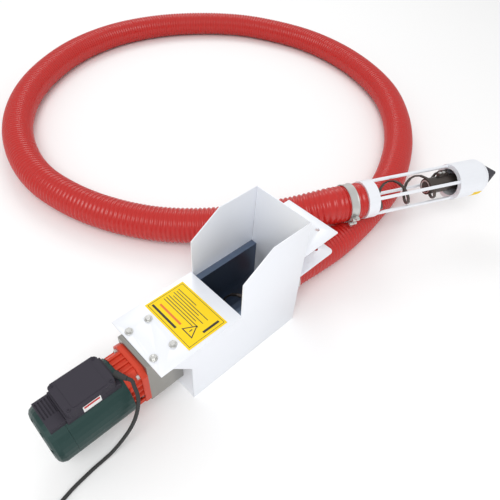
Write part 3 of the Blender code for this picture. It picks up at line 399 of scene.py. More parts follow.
def use_group(tree, builder, **values):
    name = builder.__name__.replace("_", " ").capitalize()
    node = put(tree, "ShaderNodeGroup", node_tree=bpy.data.node_groups.get(name) or builder())
    for label, value in values.items():
        feed(tree, node.inputs[label], value)
    return node.outputs[0]


def finish_material(name, colour, roughness, metallic=0.0, coat=0.0, tone=0.15, grain=(900.0, 0.00003),
                    gloss=0.06, dust=0.05, stretch=(1, 1, 1), tone_scale=12.0, mask=None):
    """A Principled material with tone, grain, gloss and dust.

    Mask names an attribute and gives the colour that shows where it is 1.
    """
    material = bpy.data.materials.new(name)
    material.use_nodes = True
    tree = material.node_tree
    shader = tree.nodes["Principled BSDF"]
    place = put(tree, "ShaderNodeTexCoord").outputs["Object"]
    mapping = put(tree, "ShaderNodeMapping")
    mapping.inputs["Scale"].default_value = stretch
    feed(tree, mapping.inputs["Vector"], place)
    stretched = mapping.outputs[0]
    shade = use_group(tree, cloudy_tone, Vector=stretched, Color=(*colour, 1), Scale=tone_scale, Amount=tone)
    if mask:
        # Where the mask attribute is 1 its colour is painted in; the hose uses this for painted shade in its
        # grooves.
        groove_shade = put(tree, "ShaderNodeAttribute", attribute_name=mask[0]).outputs["Fac"]
        shade = mixed(tree, groove_shade, shade, (*mask[1], 1))
    shade = use_group(tree, settled_dust, Vector=place, Color=shade, Amount=dust)
    feed(tree, shader.inputs["Base Color"], shade)
    rough = use_group(tree, handled_gloss, Vector=stretched, Roughness=roughness, Spread=gloss)
    feed(tree, shader.inputs["Roughness"], rough)
    normal = use_group(tree, surface_grain, Vector=stretched, Scale=grain[0], Height=grain[1])
    feed(tree, shader.inputs["Normal"], normal)
    shader.inputs["Metallic"].default_value = metallic
    shader.inputs["Coat Weight"].default_value = coat
    shader.inputs["Coat Roughness"].default_value = 0.12
    material.diffuse_color = (*colour, 1)
    return material


# One function for each finish. All are given the paint colours, though some need none of them.


def white_paint(paint):
    return finish_material("white_paint", paint.white, 0.36, coat=0.15, tone=0.05, dust=0.03)


def trough_steel(paint):
    return finish_material("trough_steel", (0.30, 0.36, 0.44), 0.42, 0.55, tone=0.5, gloss=0.14, dust=0.35,
                           stretch=(0.3, 2, 2), grain=(260.0, 0.00008))


def zinc(paint):
    return finish_material("zinc", (0.40, 0.40, 0.38), 0.28, 1.0, tone=0.2, gloss=0.1, tone_scale=60.0,
                           grain=(500.0, 0.00004))


def steel(paint):
    return finish_material("steel", (0.50, 0.50, 0.52), 0.3, 1.0, tone=0.2, stretch=(12, 1, 1),
                           grain=(120.0, 0.00003), tone_scale=40.0)


def cast(paint):
    return finish_material("cast", (0.40, 0.39, 0.37), 0.52, 0.75, tone=0.35, gloss=0.1, dust=0.12,
                           grain=(750.0, 0.00025), tone_scale=45.0)


def orange_paint(paint):
    return finish_material("orange_paint", paint.orange, 0.3, coat=0.35, tone=0.12, grain=(420.0, 0.00012))


def green_paint(paint):
    return finish_material("green_paint", paint.green, 0.34, coat=0.25, tone=0.25, dust=0.08,
                           grain=(520.0, 0.00010))


def black_plastic(paint):
    return finish_material("black_plastic", paint.black, 0.46, tone=0.3, dust=0.05, grain=(1900.0, 0.00005))


def dark_rubber(paint):
    return finish_material("dark_rubber", (0.022, 0.022, 0.024), 0.55, tone=0.3, dust=0.1,
                           grain=(1500.0, 0.00004))


def hose_red(paint):
    # The grooves between the ribs are painted near-black red. This is painted shade in the recesses, added on
    # top of the shading that the ribs' own shape gives.
    return finish_material("hose_red", paint.red, 0.27, coat=0.45, tone=0.22, dust=0.0, tone_scale=7.0,
                           grain=(220.0, 0.00010), mask=("groove_shade", (0.05, 0.001, 0.001)))


def label_yellow(paint):
    return finish_material("label_yellow", paint.yellow, 0.4, tone=0.06, grain=(1200.0, 0.00001), dust=0.02)


def spiral_steel(paint):
    return finish_material("spiral_steel", (0.13, 0.10, 0.085), 0.34, 0.85, tone=0.5, gloss=0.12,
                           tone_scale=55.0, grain=(600.0, 0.00008))


def core_steel(paint):
    return finish_material("core_steel", (0.28, 0.20, 0.14), 0.5, 0.6, tone=0.3, stretch=(30, 1, 1))


FINISHES = (white_paint, trough_steel, zinc, steel, cast, orange_paint, green_paint, black_plastic,
            dark_rubber, hose_red, label_yellow, spiral_steel, core_steel)


def print_black(paint):
    return finish_material("print_black", (0.012, 0.012, 0.012), 0.45, tone=0.1)


def print_red(paint):
    return finish_material("print_red", (0.55, 0.02, 0.02), 0.45, tone=0.1)


def print_orange(paint):
    return finish_material("print_orange", (0.75, 0.16, 0.01), 0.45, tone=0.1)


def print_white(paint):
    return finish_material("print_white", (0.85, 0.85, 0.84), 0.45, tone=0.05)


def finish(builder):
    return bpy.data.materials.get(builder.__name__) or builder(bpy.context.scene.auger_paint)


def slot_of(node):
    parts = frame["record"]["subparts"]
    return next(part["material_slot"] for part in parts if part["node"] == node)


# Mesh helpers


def curve_points(route, step):
    """Points a step apart along a smooth curve through the route's own points."""
    knots = [Vector(point) for point in route]
    knots = [2 * knots[0] - knots[1], *knots, 2 * knots[-1] - knots[-2]]
    fine = []
    for p0, p1, p2, p3 in zip(knots, knots[1:], knots[2:], knots[3:]):
        t1 = (p1 - p0).length ** 0.5
        t2 = t1 + (p2 - p1).length ** 0.5
        t3 = t2 + (p3 - p2).length ** 0.5
        for k in range(24):
            t = t1 + (t2 - t1) * k / 24
            a1 = p0 * (t1 - t) / t1 + p1 * t / t1
            a2 = p1 * (t2 - t) / (t2 - t1) + p2 * (t - t1) / (t2 - t1)
            a3 = p2 * (t3 - t) / (t3 - t2) + p3 * (t - t2) / (t3 - t2)
            b1 = a1 * (t2 - t) / t2 + a2 * t / t2
            b2 = a2 * (t3 - t) / (t3 - t1) + a3 * (t - t1) / (t3 - t1)
            fine.append(b1 * (t2 - t) / (t2 - t1) + b2 * (t - t1) / (t2 - t1))
    fine.append(knots[-2])
    lengths = [0.0]
    for first, second in zip(fine, fine[1:]):
        lengths.append(lengths[-1] + (second - first).length)
    count = max(2, round(lengths[-1] / step))
    points = []
    at = 0
    for k in range(count + 1):
        wanted = lengths[-1] * k / count
        while at < len(lengths) - 2 and lengths[at + 1] < wanted:
            at += 1
        share = (wanted - lengths[at]) / (lengths[at + 1] - lengths[at])
        points.append(fine[at].lerp(fine[at + 1], share))
    return points


def add_object(name, data, material=None):
    made = bpy.data.objects.new(name, data)
    bpy.context.scene.collection.objects.link(made)
    if material:
        data.materials.append(material)
    return made


def finished(thing, body, replaced=()):
    """Puts a piece on its body and hides the CAD nodes it stands for."""
    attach(thing, body)
    if replaced:
        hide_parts(*replaced)
    return thing


def to_mesh(shape, name, degrees=32):
    """A bmesh as a mesh, smooth but for edges sharper than this."""
    bmesh.ops.recalc_face_normals(shape, faces=shape.faces)
    limit = math.radians(degrees)
    for face in shape.faces:
        face.smooth = True
    for edge in shape.edges:
        edge.smooth = len(edge.link_faces) == 2 and edge.calc_face_angle(0.0) < limit
    mesh = bpy.data.meshes.new(name)
    shape.to_mesh(mesh)
    shape.free()
    return mesh


def eased_copy(node, width, segments=2):
    """A copy of a CAD node with its hard edges rounded over, which stands for that node."""
    shape = bmesh.new()
    shape.from_mesh(NODES[node].data)
    bmesh.ops.remove_doubles(shape, verts=shape.verts, dist=WELD)
    bmesh.ops.dissolve_limit(shape, angle_limit=math.radians(1), verts=shape.verts, edges=shape.edges)
    hard = [e for e in shape.edges if len(e.link_faces) == 2 and e.calc_face_angle(0.0) > HARD_EDGE]
    bmesh.ops.bevel(shape, geom=hard, offset=width, segments=segments, profile=0.5, affect="EDGES",
                    clamp_overlap=True)
    slot = slot_of(node)
    builder = next(made for made in FINISHES if made.__name__ == slot)
    copy = add_object(f"{node}_eased", to_mesh(shape, f"{node}_eased"), finish(builder))
    return finished(copy, BODY_OF[node], (node,))


def add_turned(shape, profile, sides, place=Matrix.Identity(4)):
    """Adds a closed solid turned about X from (x, radius) points that start and end on the axis."""
    rings = []
    for x, radius in profile:
        if radius == 0:
            rings.append([shape.verts.new(place @ Vector((x, 0, 0)))])
            continue
        turns = [2 * math.pi * k / sides for k in range(sides)]
        rings.append([shape.verts.new(place @ Vector((x, radius * math.cos(a), radius * math.sin(a))))
                      for a in turns])
    for first, second in zip(rings, rings[1:]):
        for k in range(sides):
            corners = [first[k % len(first)], first[(k + 1) % len(first)],
                       second[(k + 1) % len(second)], second[k % len(second)]]
            shape.faces.new(list(dict.fromkeys(corners)))


def add_ring(shape, profile, sides, place=Matrix.Identity(4)):
    """Adds a ring whose closed section of (x, radius) points goes round X."""
    rings = []
    for k in range(sides):
        a = 2 * math.pi * k / sides
        rings.append([shape.verts.new(place @ Vector((x, r * math.cos(a), r * math.sin(a))))
                      for x, r in profile])
    for k in range(sides):
        first, second = rings[k], rings[(k + 1) % sides]
        for i in range(len(profile)):
            j = (i + 1) % len(profile)
            shape.faces.new((first[i], first[j], second[j], second[i]))


def add_slab(shape, outline, low, high, place=Matrix.Identity(4)):
    """Adds a flat slab from an (x, y) outline between two heights."""
    lower = [shape.verts.new(place @ Vector((x, y, low))) for x, y in outline]
    upper = [shape.verts.new(place @ Vector((x, y, high))) for x, y in outline]
    shape.faces.new(list(reversed(lower)))
    shape.faces.new(upper)
    for k in range(len(outline)):
        j = (k + 1) % len(outline)
        shape.faces.new((lower[k], lower[j], upper[j], upper[k]))


def rectangle(x_low, x_high, y_low, y_high):
    return ((x_low, y_low), (x_high, y_low), (x_high, y_high), (x_low, y_high))


def rounded(x_low, x_high, y_low, y_high, radius, steps=6):
    """A rectangle's outline with round corners."""
    corners = ((x_high - radius, y_high - radius, 0), (x_low + radius, y_high - radius, 90),
               (x_low + radius, y_low + radius, 180), (x_high - radius, y_low + radius, 270))
    outline = []
    for x, y, start in corners:
        for k in range(steps + 1):
            a = math.radians(start + 90 * k / steps)
            outline.append((x + radius * math.cos(a), y + radius * math.sin(a)))
    return outline


def bolt_shape(head_r, head_height, washer_r, washer_height, sides=6):
    """A bolt head that points along +Z, with a dished face, chamfered corners and a washer."""
    shape = bmesh.new()
    washer = ((0, 0), (0, washer_r), (washer_height * 0.7, washer_r), (washer_height, washer_r * 0.94),
              (washer_height, 0))
    add_turned(shape, washer, 28, UPRIGHT)
    top = washer_height + head_height
    head = ((washer_height * 0.9, 0), (washer_height * 0.9, head_r), (top - 0.0006, head_r),
            (top, head_r * 0.86), (top, head_r * 0.60), (top - 0.0004, head_r * 0.5), (top - 0.0004, 0))
    add_turned(shape, head, sides, UPRIGHT)
    return shape


# Geometry Nodes


def end_tree(tree, geometry, material, out):
    """Realizes instances and sets the material, as the end of every tree."""
    real = put(tree, "GeometryNodeRealizeInstances")
    feed(tree, real.inputs[0], geometry)
    coated = put(tree, "GeometryNodeSetMaterial")
    feed(tree, coated.inputs["Geometry"], real.outputs[0])
    feed(tree, coated.inputs["Material"], material)
    feed(tree, out[0], coated.outputs[0])


def ribbed_tube():
    """Sweeps a circle along a line of edges, its radius rising and falling with the ribs."""
    tree, given, out = group(
        "Ribbed tube", "GeometryNodeTree",
        (("Geometry", "NodeSocketGeometry", None), ("Radius", "NodeSocketFloat", 0.04),
         ("Rib Pitch", "NodeSocketFloat", 0.008), ("Rib Depth", "NodeSocketFloat", 0.002),
         ("Step", "NodeSocketFloat", 0.0016), ("Sides", "NodeSocketInt", 28),
         ("Material", "NodeSocketMaterial", None)),
        (("Geometry", "NodeSocketGeometry"),))
    line = put(tree, "GeometryNodeMeshToCurve")
    feed(tree, line.inputs[0], given["Geometry"])
    rings = put(tree, "GeometryNodeResampleCurve", mode="LENGTH")
    feed(tree, rings.inputs["Curve"], line.outputs[0])
    feed(tree, rings.inputs["Length"], given["Step"])
    along = put(tree, "GeometryNodeSplineParameter").outputs["Length"]
    turns = maths(tree, "DIVIDE", along, given["Rib Pitch"])
    wave = maths(tree, "COSINE", maths(tree, "MULTIPLY", turns, 2 * math.pi))
    rounded = maths(tree, "POWER", maths(tree, "MULTIPLY_ADD", wave, -0.5, 0.5), 1.6)
    # The groove profile is also stored for the hose's material, which paints the grooves darker as painted
    # shade.
    stored = put(tree, "GeometryNodeStoreNamedAttribute", data_type="FLOAT", domain="POINT")
    feed(tree, stored.inputs["Geometry"], rings.outputs[0])
    stored.inputs["Name"].default_value = "groove_shade"
    feed(tree, stored.inputs["Value"], rounded)
    circle = put(tree, "GeometryNodeCurvePrimitiveCircle", mode="RADIUS")
    feed(tree, circle.inputs["Resolution"], given["Sides"])
    circle.inputs["Radius"].default_value = 1.0
    swept = put(tree, "GeometryNodeCurveToMesh")
    feed(tree, swept.inputs["Curve"], stored.outputs[0])
    feed(tree, swept.inputs["Profile Curve"], circle.outputs[0])
    depth = maths(tree, "MULTIPLY", rounded, given["Rib Depth"])
    feed(tree, swept.inputs["Scale"], maths(tree, "SUBTRACT", given["Radius"], depth))
    swept.inputs["Fill Caps"].default_value = True
    end_tree(tree, swept.outputs[0], given["Material"], out)
    return tree


def fastener_row():
    """Puts a copy of one fastener on each point, each turned about its own axis by a seeded amount."""
    tree, given, out = group(
        "Fastener row", "GeometryNodeTree",
        (("Geometry", "NodeSocketGeometry", None), ("Fastener", "NodeSocketObject", None),
         ("Axis", "NodeSocketVector", (0, 0, 1)), ("Seed", "NodeSocketInt", 3),
         ("Material", "NodeSocketMaterial", None)),
        (("Geometry", "NodeSocketGeometry"),))
    shape = put(tree, "GeometryNodeObjectInfo", transform_space="ORIGINAL")
    feed(tree, shape.inputs[0], given["Fastener"])
    turn = put(tree, "FunctionNodeRandomValue", data_type="FLOAT")
    turn.inputs[3].default_value = 2 * math.pi
    feed(tree, turn.inputs["Seed"], given["Seed"])
    rotation = put(tree, "FunctionNodeAxisAngleToRotation")
    feed(tree, rotation.inputs["Axis"], given["Axis"])
    feed(tree, rotation.inputs["Angle"], turn.outputs[1])
    copies = put(tree, "GeometryNodeInstanceOnPoints")
    feed(tree, copies.inputs["Points"], given["Geometry"])
    feed(tree, copies.inputs["Instance"], shape.outputs["Geometry"])
    feed(tree, copies.inputs["Rotation"], rotation.outputs[0])
    end_tree(tree, copies.outputs[0], given["Material"], out)
    return tree


def grown(name, mesh, builder, **values):
    """The plain mesh that a Geometry Nodes tree makes from a mesh, as a new object."""
    label = builder.__name__.replace("_", " ").capitalize()
    tree = bpy.data.node_groups.get(label) or builder()
    seedling = add_object(f"{name}_points", mesh)
    modifier = seedling.modifiers.new(label, "NODES")
    modifier.node_group = tree
    identifiers = {item.name: item.identifier for item in tree.interface.items_tree if item.in_out == "INPUT"}
    for key, value in values.items():
        modifier[identifiers[key.replace("_", " ")]] = value
    graph = bpy.context.evaluated_depsgraph_get()
    result = bpy.data.meshes.new_from_object(seedling.evaluated_get(graph))
    seedling.modifiers.remove(modifier)
    bpy.data.objects.remove(seedling)
    if not result.polygons:
        raise RuntimeError(f"{name}: its node tree made no faces")
    result.name = name
    return add_object(name, result)


def points_mesh(name, points, linked=False):
    mesh = bpy.data.meshes.new(name)
    edges = [(k, k + 1) for k in range(len(points) - 1)] if linked else []
    mesh.from_pydata([tuple(point) for point in points], edges, [])
    return mesh


def fasteners(name, shape, points, axis, builder, body, replaced=(), seed=3):
    """One piece with a copy of a fastener's shape at each point."""
    pattern = add_object(f"{name}_pattern", to_mesh(shape, f"{name}_pattern"))
    row = grown(name, points_mesh(name, points), fastener_row, Fastener=pattern, Axis=axis, Seed=seed,
                Material=finish(builder))
    bpy.data.objects.remove(pattern)
    return finished(row, body, replaced)


def centre_of(node):
    low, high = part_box(node)
    return (low + high) / 2


# Operators


class AUGER_OT_stage(bpy.types.Operator):
    """Makes the floor, the soft light and the camera"""

    bl_idname = "auger.stage"
    bl_label = "Stage"

    def execute(self, context):
        look = context.scene.auger_stage
        middle = (CAD_BOX[0] + CAD_BOX[1]) / 2
        shape = bmesh.new()
        corners = rectangle(middle.x - FLOOR_REACH, middle.x + FLOOR_REACH,
                            middle.y - FLOOR_REACH, middle.y + FLOOR_REACH)
        shape.faces.new([shape.verts.new((x, y, CAD_BOX[0].z - FLOOR_GAP)) for x, y in corners])
        floor = add_object("floor", to_mesh(shape, "floor"))
        material = bpy.data.materials.new("pale_floor")
        material.use_nodes = True
        shader = material.node_tree.nodes["Principled BSDF"]
        shader.inputs["Base Color"].default_value = (*look.floor, 1)
        shader.inputs["Roughness"].default_value = 0.9
        shader.inputs["Specular IOR Level"].default_value = 0.1
        floor.data.materials.append(material)
        world = bpy.data.worlds.new("soft_sky")
        world.use_nodes = True
        sky = world.node_tree.nodes["Background"]
        sky.inputs["Color"].default_value = (1, 1, 1, 1)
        sky.inputs["Strength"].default_value = look.sky
        context.scene.world = world
        context.scene.view_settings.view_transform = "Standard"
        self.add_light("key", KEY_PLACE, middle, 1.8, look.key)
        self.add_light("rim", RIM_PLACE, middle, 1.6, look.key * 0.5)
        self.add_camera(look)
        return {"FINISHED"}

    def add_light(self, name, place, target, size, power):
        data = bpy.data.lights.new(name, "AREA")
        data.shape = "DISK"
        data.size = size
        data.energy = power
        light = add_object(name, data)
        light.location = place
        light.rotation_mode = "QUATERNION"
        light.rotation_quaternion = (target - Vector(place)).to_track_quat("-Z", "Y")

    def add_camera(self, look):
        azimuth, elevation, roll = (math.radians(angle) for angle in CAMERA_ANGLES)
        back = Vector((math.sin(azimuth) * math.cos(elevation), -math.cos(azimuth) * math.cos(elevation),
                       math.sin(elevation)))
        right = (-back).cross(Vector((0, 0, 1))).normalized()
        up = right.cross(-back)
        rolled_right = right * math.cos(roll) + up * math.sin(roll)
        rolled_up = up * math.cos(roll) - right * math.sin(roll)
        data = bpy.data.cameras.new("camera")
        data.sensor_width = 36.0
        data.lens = look.lens
        data.clip_start = 0.02
        camera = add_object("camera", data)
        turn = Matrix((rolled_right, rolled_up, back)).transposed().to_4x4()
        camera.matrix_world = Matrix.Translation(CAMERA_PLACE) @ turn
        bpy.context.scene.camera = camera


class AUGER_OT_hose(bpy.types.Operator):
    """Makes the ribbed hose along its route"""

    bl_idname = "auger.hose"
    bl_label = "Ribbed hose"

    def execute(self, context):
        look = context.scene.auger_hose
        line = curve_points(HOSE_ROUTE, HOSE_GUIDE_STEP)
        mesh = points_mesh("hose_line", line, linked=True)
        hose = grown("ribbed_hose", mesh, ribbed_tube, Radius=HOSE_D / 2, Rib_Pitch=look.rib_pitch,
                     Rib_Depth=look.rib_depth, Step=look.step, Sides=look.sides, Material=finish(hose_red))
        for polygon in hose.data.polygons:
            polygon.use_smooth = True
        finished(hose, "frame", ("hose",))
        return {"FINISHED"}


class AUGER_OT_mains_lead(bpy.types.Operator):
    """Makes the mains lead, coiled in three layers, up to its plug"""

    bl_idname = "auger.mains_lead"
    bl_label = "Mains lead"

    def execute(self, context):
        look = context.scene.auger_lead
        plug = self.plug()
        points = curve_points((*CABLE_ROUTE, *self.coil(), *self.tail()), look.step)
        data = bpy.data.curves.new("mains_lead", "CURVE")
        data.dimensions = "3D"
        data.bevel_depth = CABLE_D / 2
        data.bevel_resolution = look.roundness
        data.use_fill_caps = True
        spline = data.splines.new("POLY")
        spline.points.add(len(points) - 1)
        for target, point in zip(spline.points, points):
            target.co = (*point, 1.0)
        spline.use_smooth = True
        lead = add_object("mains_lead", data, finish(dark_rubber))
        finished(lead, "frame", ("cable", "cable_coil"))
        return {"FINISHED"}

    def coil(self):
        """Two turns inwards on the floor, two outwards on them, two inwards on top, then across and off."""
        turn = 2 * math.pi
        span = COIL_OUTER_R - COIL_INNER_R
        stages = ((2 * turn, -span, 0), (2 * turn, span, 1), (2 * turn, -span, 2),
                  (math.radians(105), span, 3))
        climb = math.radians(60)
        points = []
        angle = COIL_START
        radius = COIL_OUTER_R
        for sweep, change, layer in stages:
            steps = round(sweep / math.radians(15))
            for k in range(steps):
                done = sweep * k / steps
                rise = 1.0 if layer == 0 else min(1.0, done / climb)
                z = COIL_FLOOR_Z + COIL_LAYER * (layer - 1 + rise if layer else 0)
                r = radius + change * k / steps
                at = angle + done
                points.append((COIL_CENTRE[0] + r * math.cos(at), COIL_CENTRE[1] + r * math.sin(at), z))
            angle += sweep
            radius += change
        return points

    def plug(self):
        """A moulded plug with a ribbed strain relief, a grip and two flat blades."""
        shape = bmesh.new()
        axes = Matrix.Translation(PLUG_TAIL) @ Matrix.Rotation(PLUG_TURN, 4, "Z")
        relief = [(0, 0), (0, 0.0042)]
        for k in range(5):
            x = 0.0012 + 0.0026 * k
            relief += [(x, 0.0046 + 0.0003 * k), (x + 0.0014, 0.0046 + 0.0003 * k),
                       (x + 0.0016, 0.0039 + 0.0003 * k), (x + 0.0024, 0.0039 + 0.0003 * k)]
        relief += [(0.0145, 0.0055), (0.0145, 0)]
        add_turned(shape, relief, 24, axes)
        body = bmesh.new()
        outline = ((0.0125, -0.0060), (0.0185, -0.0155), (0.0400, -0.0160), (0.0400, 0.0160),
                   (0.0185, 0.0155), (0.0125, 0.0060))
        add_slab(body, outline, -0.0095, 0.0090, axes)
        bmesh.ops.bevel(body, geom=body.edges[:], offset=0.0028, segments=4, profile=0.5, affect="EDGES")
        grip = bpy.data.meshes.new("grip")
        body.to_mesh(grip)
        body.free()
        shape.from_mesh(grip)
        bpy.data.meshes.remove(grip)
        for side in (-1, 1):
            blade = rectangle(0.0385, 0.0580, side * 0.0065 - 0.00075, side * 0.0065 + 0.00075)
            add_slab(shape, blade, -0.003, 0.003, axes)
        made = add_object("mains_plug", to_mesh(shape, "mains_plug"), finish(black_plastic))
        return finished(made, "frame", ("plug",))

    def tail(self):
        tail = Vector(PLUG_TAIL)
        return (tail + Vector((-0.0105, 0.040, 0.0095)), tail + Vector((-0.0052, 0.0165, 0.0020)), tail)


class AUGER_OT_sheet_metal(bpy.types.Operator):
    """Eases the edges of the discharge box, its cover and its plates"""

    bl_idname = "auger.sheet_metal"
    bl_label = "Sheet metal"

    def execute(self, context):
        width = context.scene.auger_edges.sheet
        for node in ("box_shell", "end_wall", "cover_plate", "upper_lug", "lower_lug"):
            eased_copy(node, width)
        return {"FINISHED"}


class AUGER_OT_castings(bpy.types.Operator):
    """Eases the edges of the bearing block, gear housing and control box"""

    bl_idname = "auger.castings"
    bl_label = "Castings and mouldings"

    def execute(self, context):
        edges = context.scene.auger_edges
        eased_copy("bearing_block", edges.casting)
        eased_copy("gear_housing", edges.casting)
        self.control_cover(edges.moulding)
        eased_copy("control_base", edges.moulding / 2, 2)
        eased_copy("rear_hood", edges.moulding / 3, 2)
        return {"FINISHED"}

    def control_cover(self, ease):
        """The moulded lid: round corners, a soft top edge and a shallow raised panel."""
        shape = bmesh.new()
        low, high = CONTROL_LOW, CONTROL_HIGH
        add_slab(shape, rounded(low.x, high.x, low.y, high.y, 0.006), low.z, high.z)
        rim = [e for e in shape.edges if all(abs(v.co.z - high.z) < WELD for v in e.verts)]
        bmesh.ops.bevel(shape, geom=rim, offset=ease, segments=4, profile=0.5, affect="EDGES")
        inset = 0.0125
        panel = rounded(low.x + inset, high.x - inset, low.y + 0.004, high.y - 0.004, 0.003)
        add_slab(shape, panel, high.z - 0.0005, high.z + 0.0006)
        made = add_object("control_lid", to_mesh(shape, "control_lid"), finish(black_plastic))
        finished(made, "frame", ("control_cover",))


class AUGER_OT_fasteners(bpy.types.Operator):
    """Makes the bolt and screw heads, each row from one pattern"""

    bl_idname = "auger.fasteners"
    bl_label = "Bolts and screws"

    def execute(self, context):
        cover = [f"cover_bolt_{k}" for k in (1, 2, 3, 4)]
        points = [(centre_of(node).x, centre_of(node).y, LABEL_LOW.z) for node in cover]
        shape = bolt_shape(head_r=0.0056, head_height=0.0036, washer_r=0.0072, washer_height=0.0014)
        fasteners("cover_bolts", shape, points, (0, 0, 1), zinc, "frame", cover)
        screws = [f"control_screw_{k}" for k in (1, 2, 3, 4)]
        points = [(centre_of(node).x, centre_of(node).y, CONTROL_HIGH.z) for node in screws]
        fasteners("control_screws", self.cross_screw(), points, (0, 0, 1), black_plastic, "frame", screws,
                  seed=5)
        self.flange()
        return {"FINISHED"}

    def cross_screw(self):
        """A pan head with a raised cross in its recess."""
        shape = bmesh.new()
        radius = 0.0027
        head = ((0, 0), (0, radius), (0.0008, radius), (0.0014, radius * 0.8), (0.0017, radius * 0.55),
                (0.0011, radius * 0.45), (0.0011, 0))
        add_turned(shape, head, 24, UPRIGHT)
        for turn in (0, 1):
            place = Matrix.Rotation(turn * math.pi / 2, 4, "Z")
            add_slab(shape, rectangle(-0.0012, 0.0012, -0.0002, 0.0002), 0.0010, 0.0015, place)
        return shape

    def flange(self):
        """Four hex heads on the back of the flange, two of them over the CAD bolts."""
        first, second = (centre_of(f"flange_bolt_{k}") for k in (1, 2))
        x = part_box("flange_bolt_1")[0].x + 0.0040
        corners = ((first.y, first.z), (second.y, second.z), (second.y, first.z), (first.y, second.z))
        shape = bolt_shape(head_r=0.0045, head_height=0.0036, washer_r=0.0052, washer_height=0.0010)
        bmesh.ops.rotate(shape, verts=shape.verts, cent=(0, 0, 0), matrix=UPRIGHT.to_3x3())
        fasteners("flange_bolts", shape, [(x, y, z) for y, z in corners], (1, 0, 0), zinc, "frame",
                  ("flange_bolt_1", "flange_bolt_2"), seed=9)


class AUGER_OT_hose_clamps(bpy.types.Operator):
    """Makes the two hose clamps, with rolled edges, barrels, bolt and nut"""

    bl_idname = "auger.hose_clamps"
    bl_label = "Hose clamps"

    def execute(self, context):
        self.clamp("outlet", END_WALL_X + 0.030, OUTLET_AXES, math.radians(-150))
        self.clamp("intake", -0.034, INTAKE_AXES, math.radians(112))
        return {"FINISHED"}

    def clamp(self, name, middle, axes, bolt_angle):
        shape = bmesh.new()
        inner = HOSE_D / 2 + 0.0002
        wall = 0.0011
        half = 0.010
        lip = 0.0010
        section = ((-half, inner), (-half, inner + wall + lip), (-half + 0.0012, inner + wall + lip),
                   (-half + 0.0026, inner + wall), (half - 0.0026, inner + wall),
                   (half - 0.0012, inner + wall + lip), (half, inner + wall + lip), (half, inner))
        add_ring(shape, section, 72, axes @ Matrix.Translation((middle, 0, 0)))
        radius = inner + wall + 0.0055
        seat = axes @ Matrix.Rotation(bolt_angle, 4, "X") @ Matrix.Translation((middle, 0, radius))
        for side in (-1, 1):
            barrel = seat @ Matrix.Translation((-half + 0.001, side * 0.0095, -0.0008))
            profile = ((0, 0), (0, 0.0036), (0.0006, 0.0042), (0.0174, 0.0042), (0.018, 0.0036), (0.018, 0))
            add_turned(shape, profile, 20, barrel)
        along = seat @ Matrix.Rotation(math.pi / 2, 4, "Z")
        bolt = ((-0.022, 0), (-0.022, 0.0024), (0.020, 0.0024), (0.0205, 0.002), (0.0205, 0))
        add_turned(shape, bolt, 14, along)
        nut = ((0.0138, 0), (0.0138, 0.0048), (0.0182, 0.0048), (0.0182, 0))
        add_turned(shape, nut, 6, along)
        made = add_object(f"{name}_clamp", to_mesh(shape, f"{name}_clamp"), finish(zinc))
        finished(made, "frame", (f"{name}_band", f"{name}_bolt"))


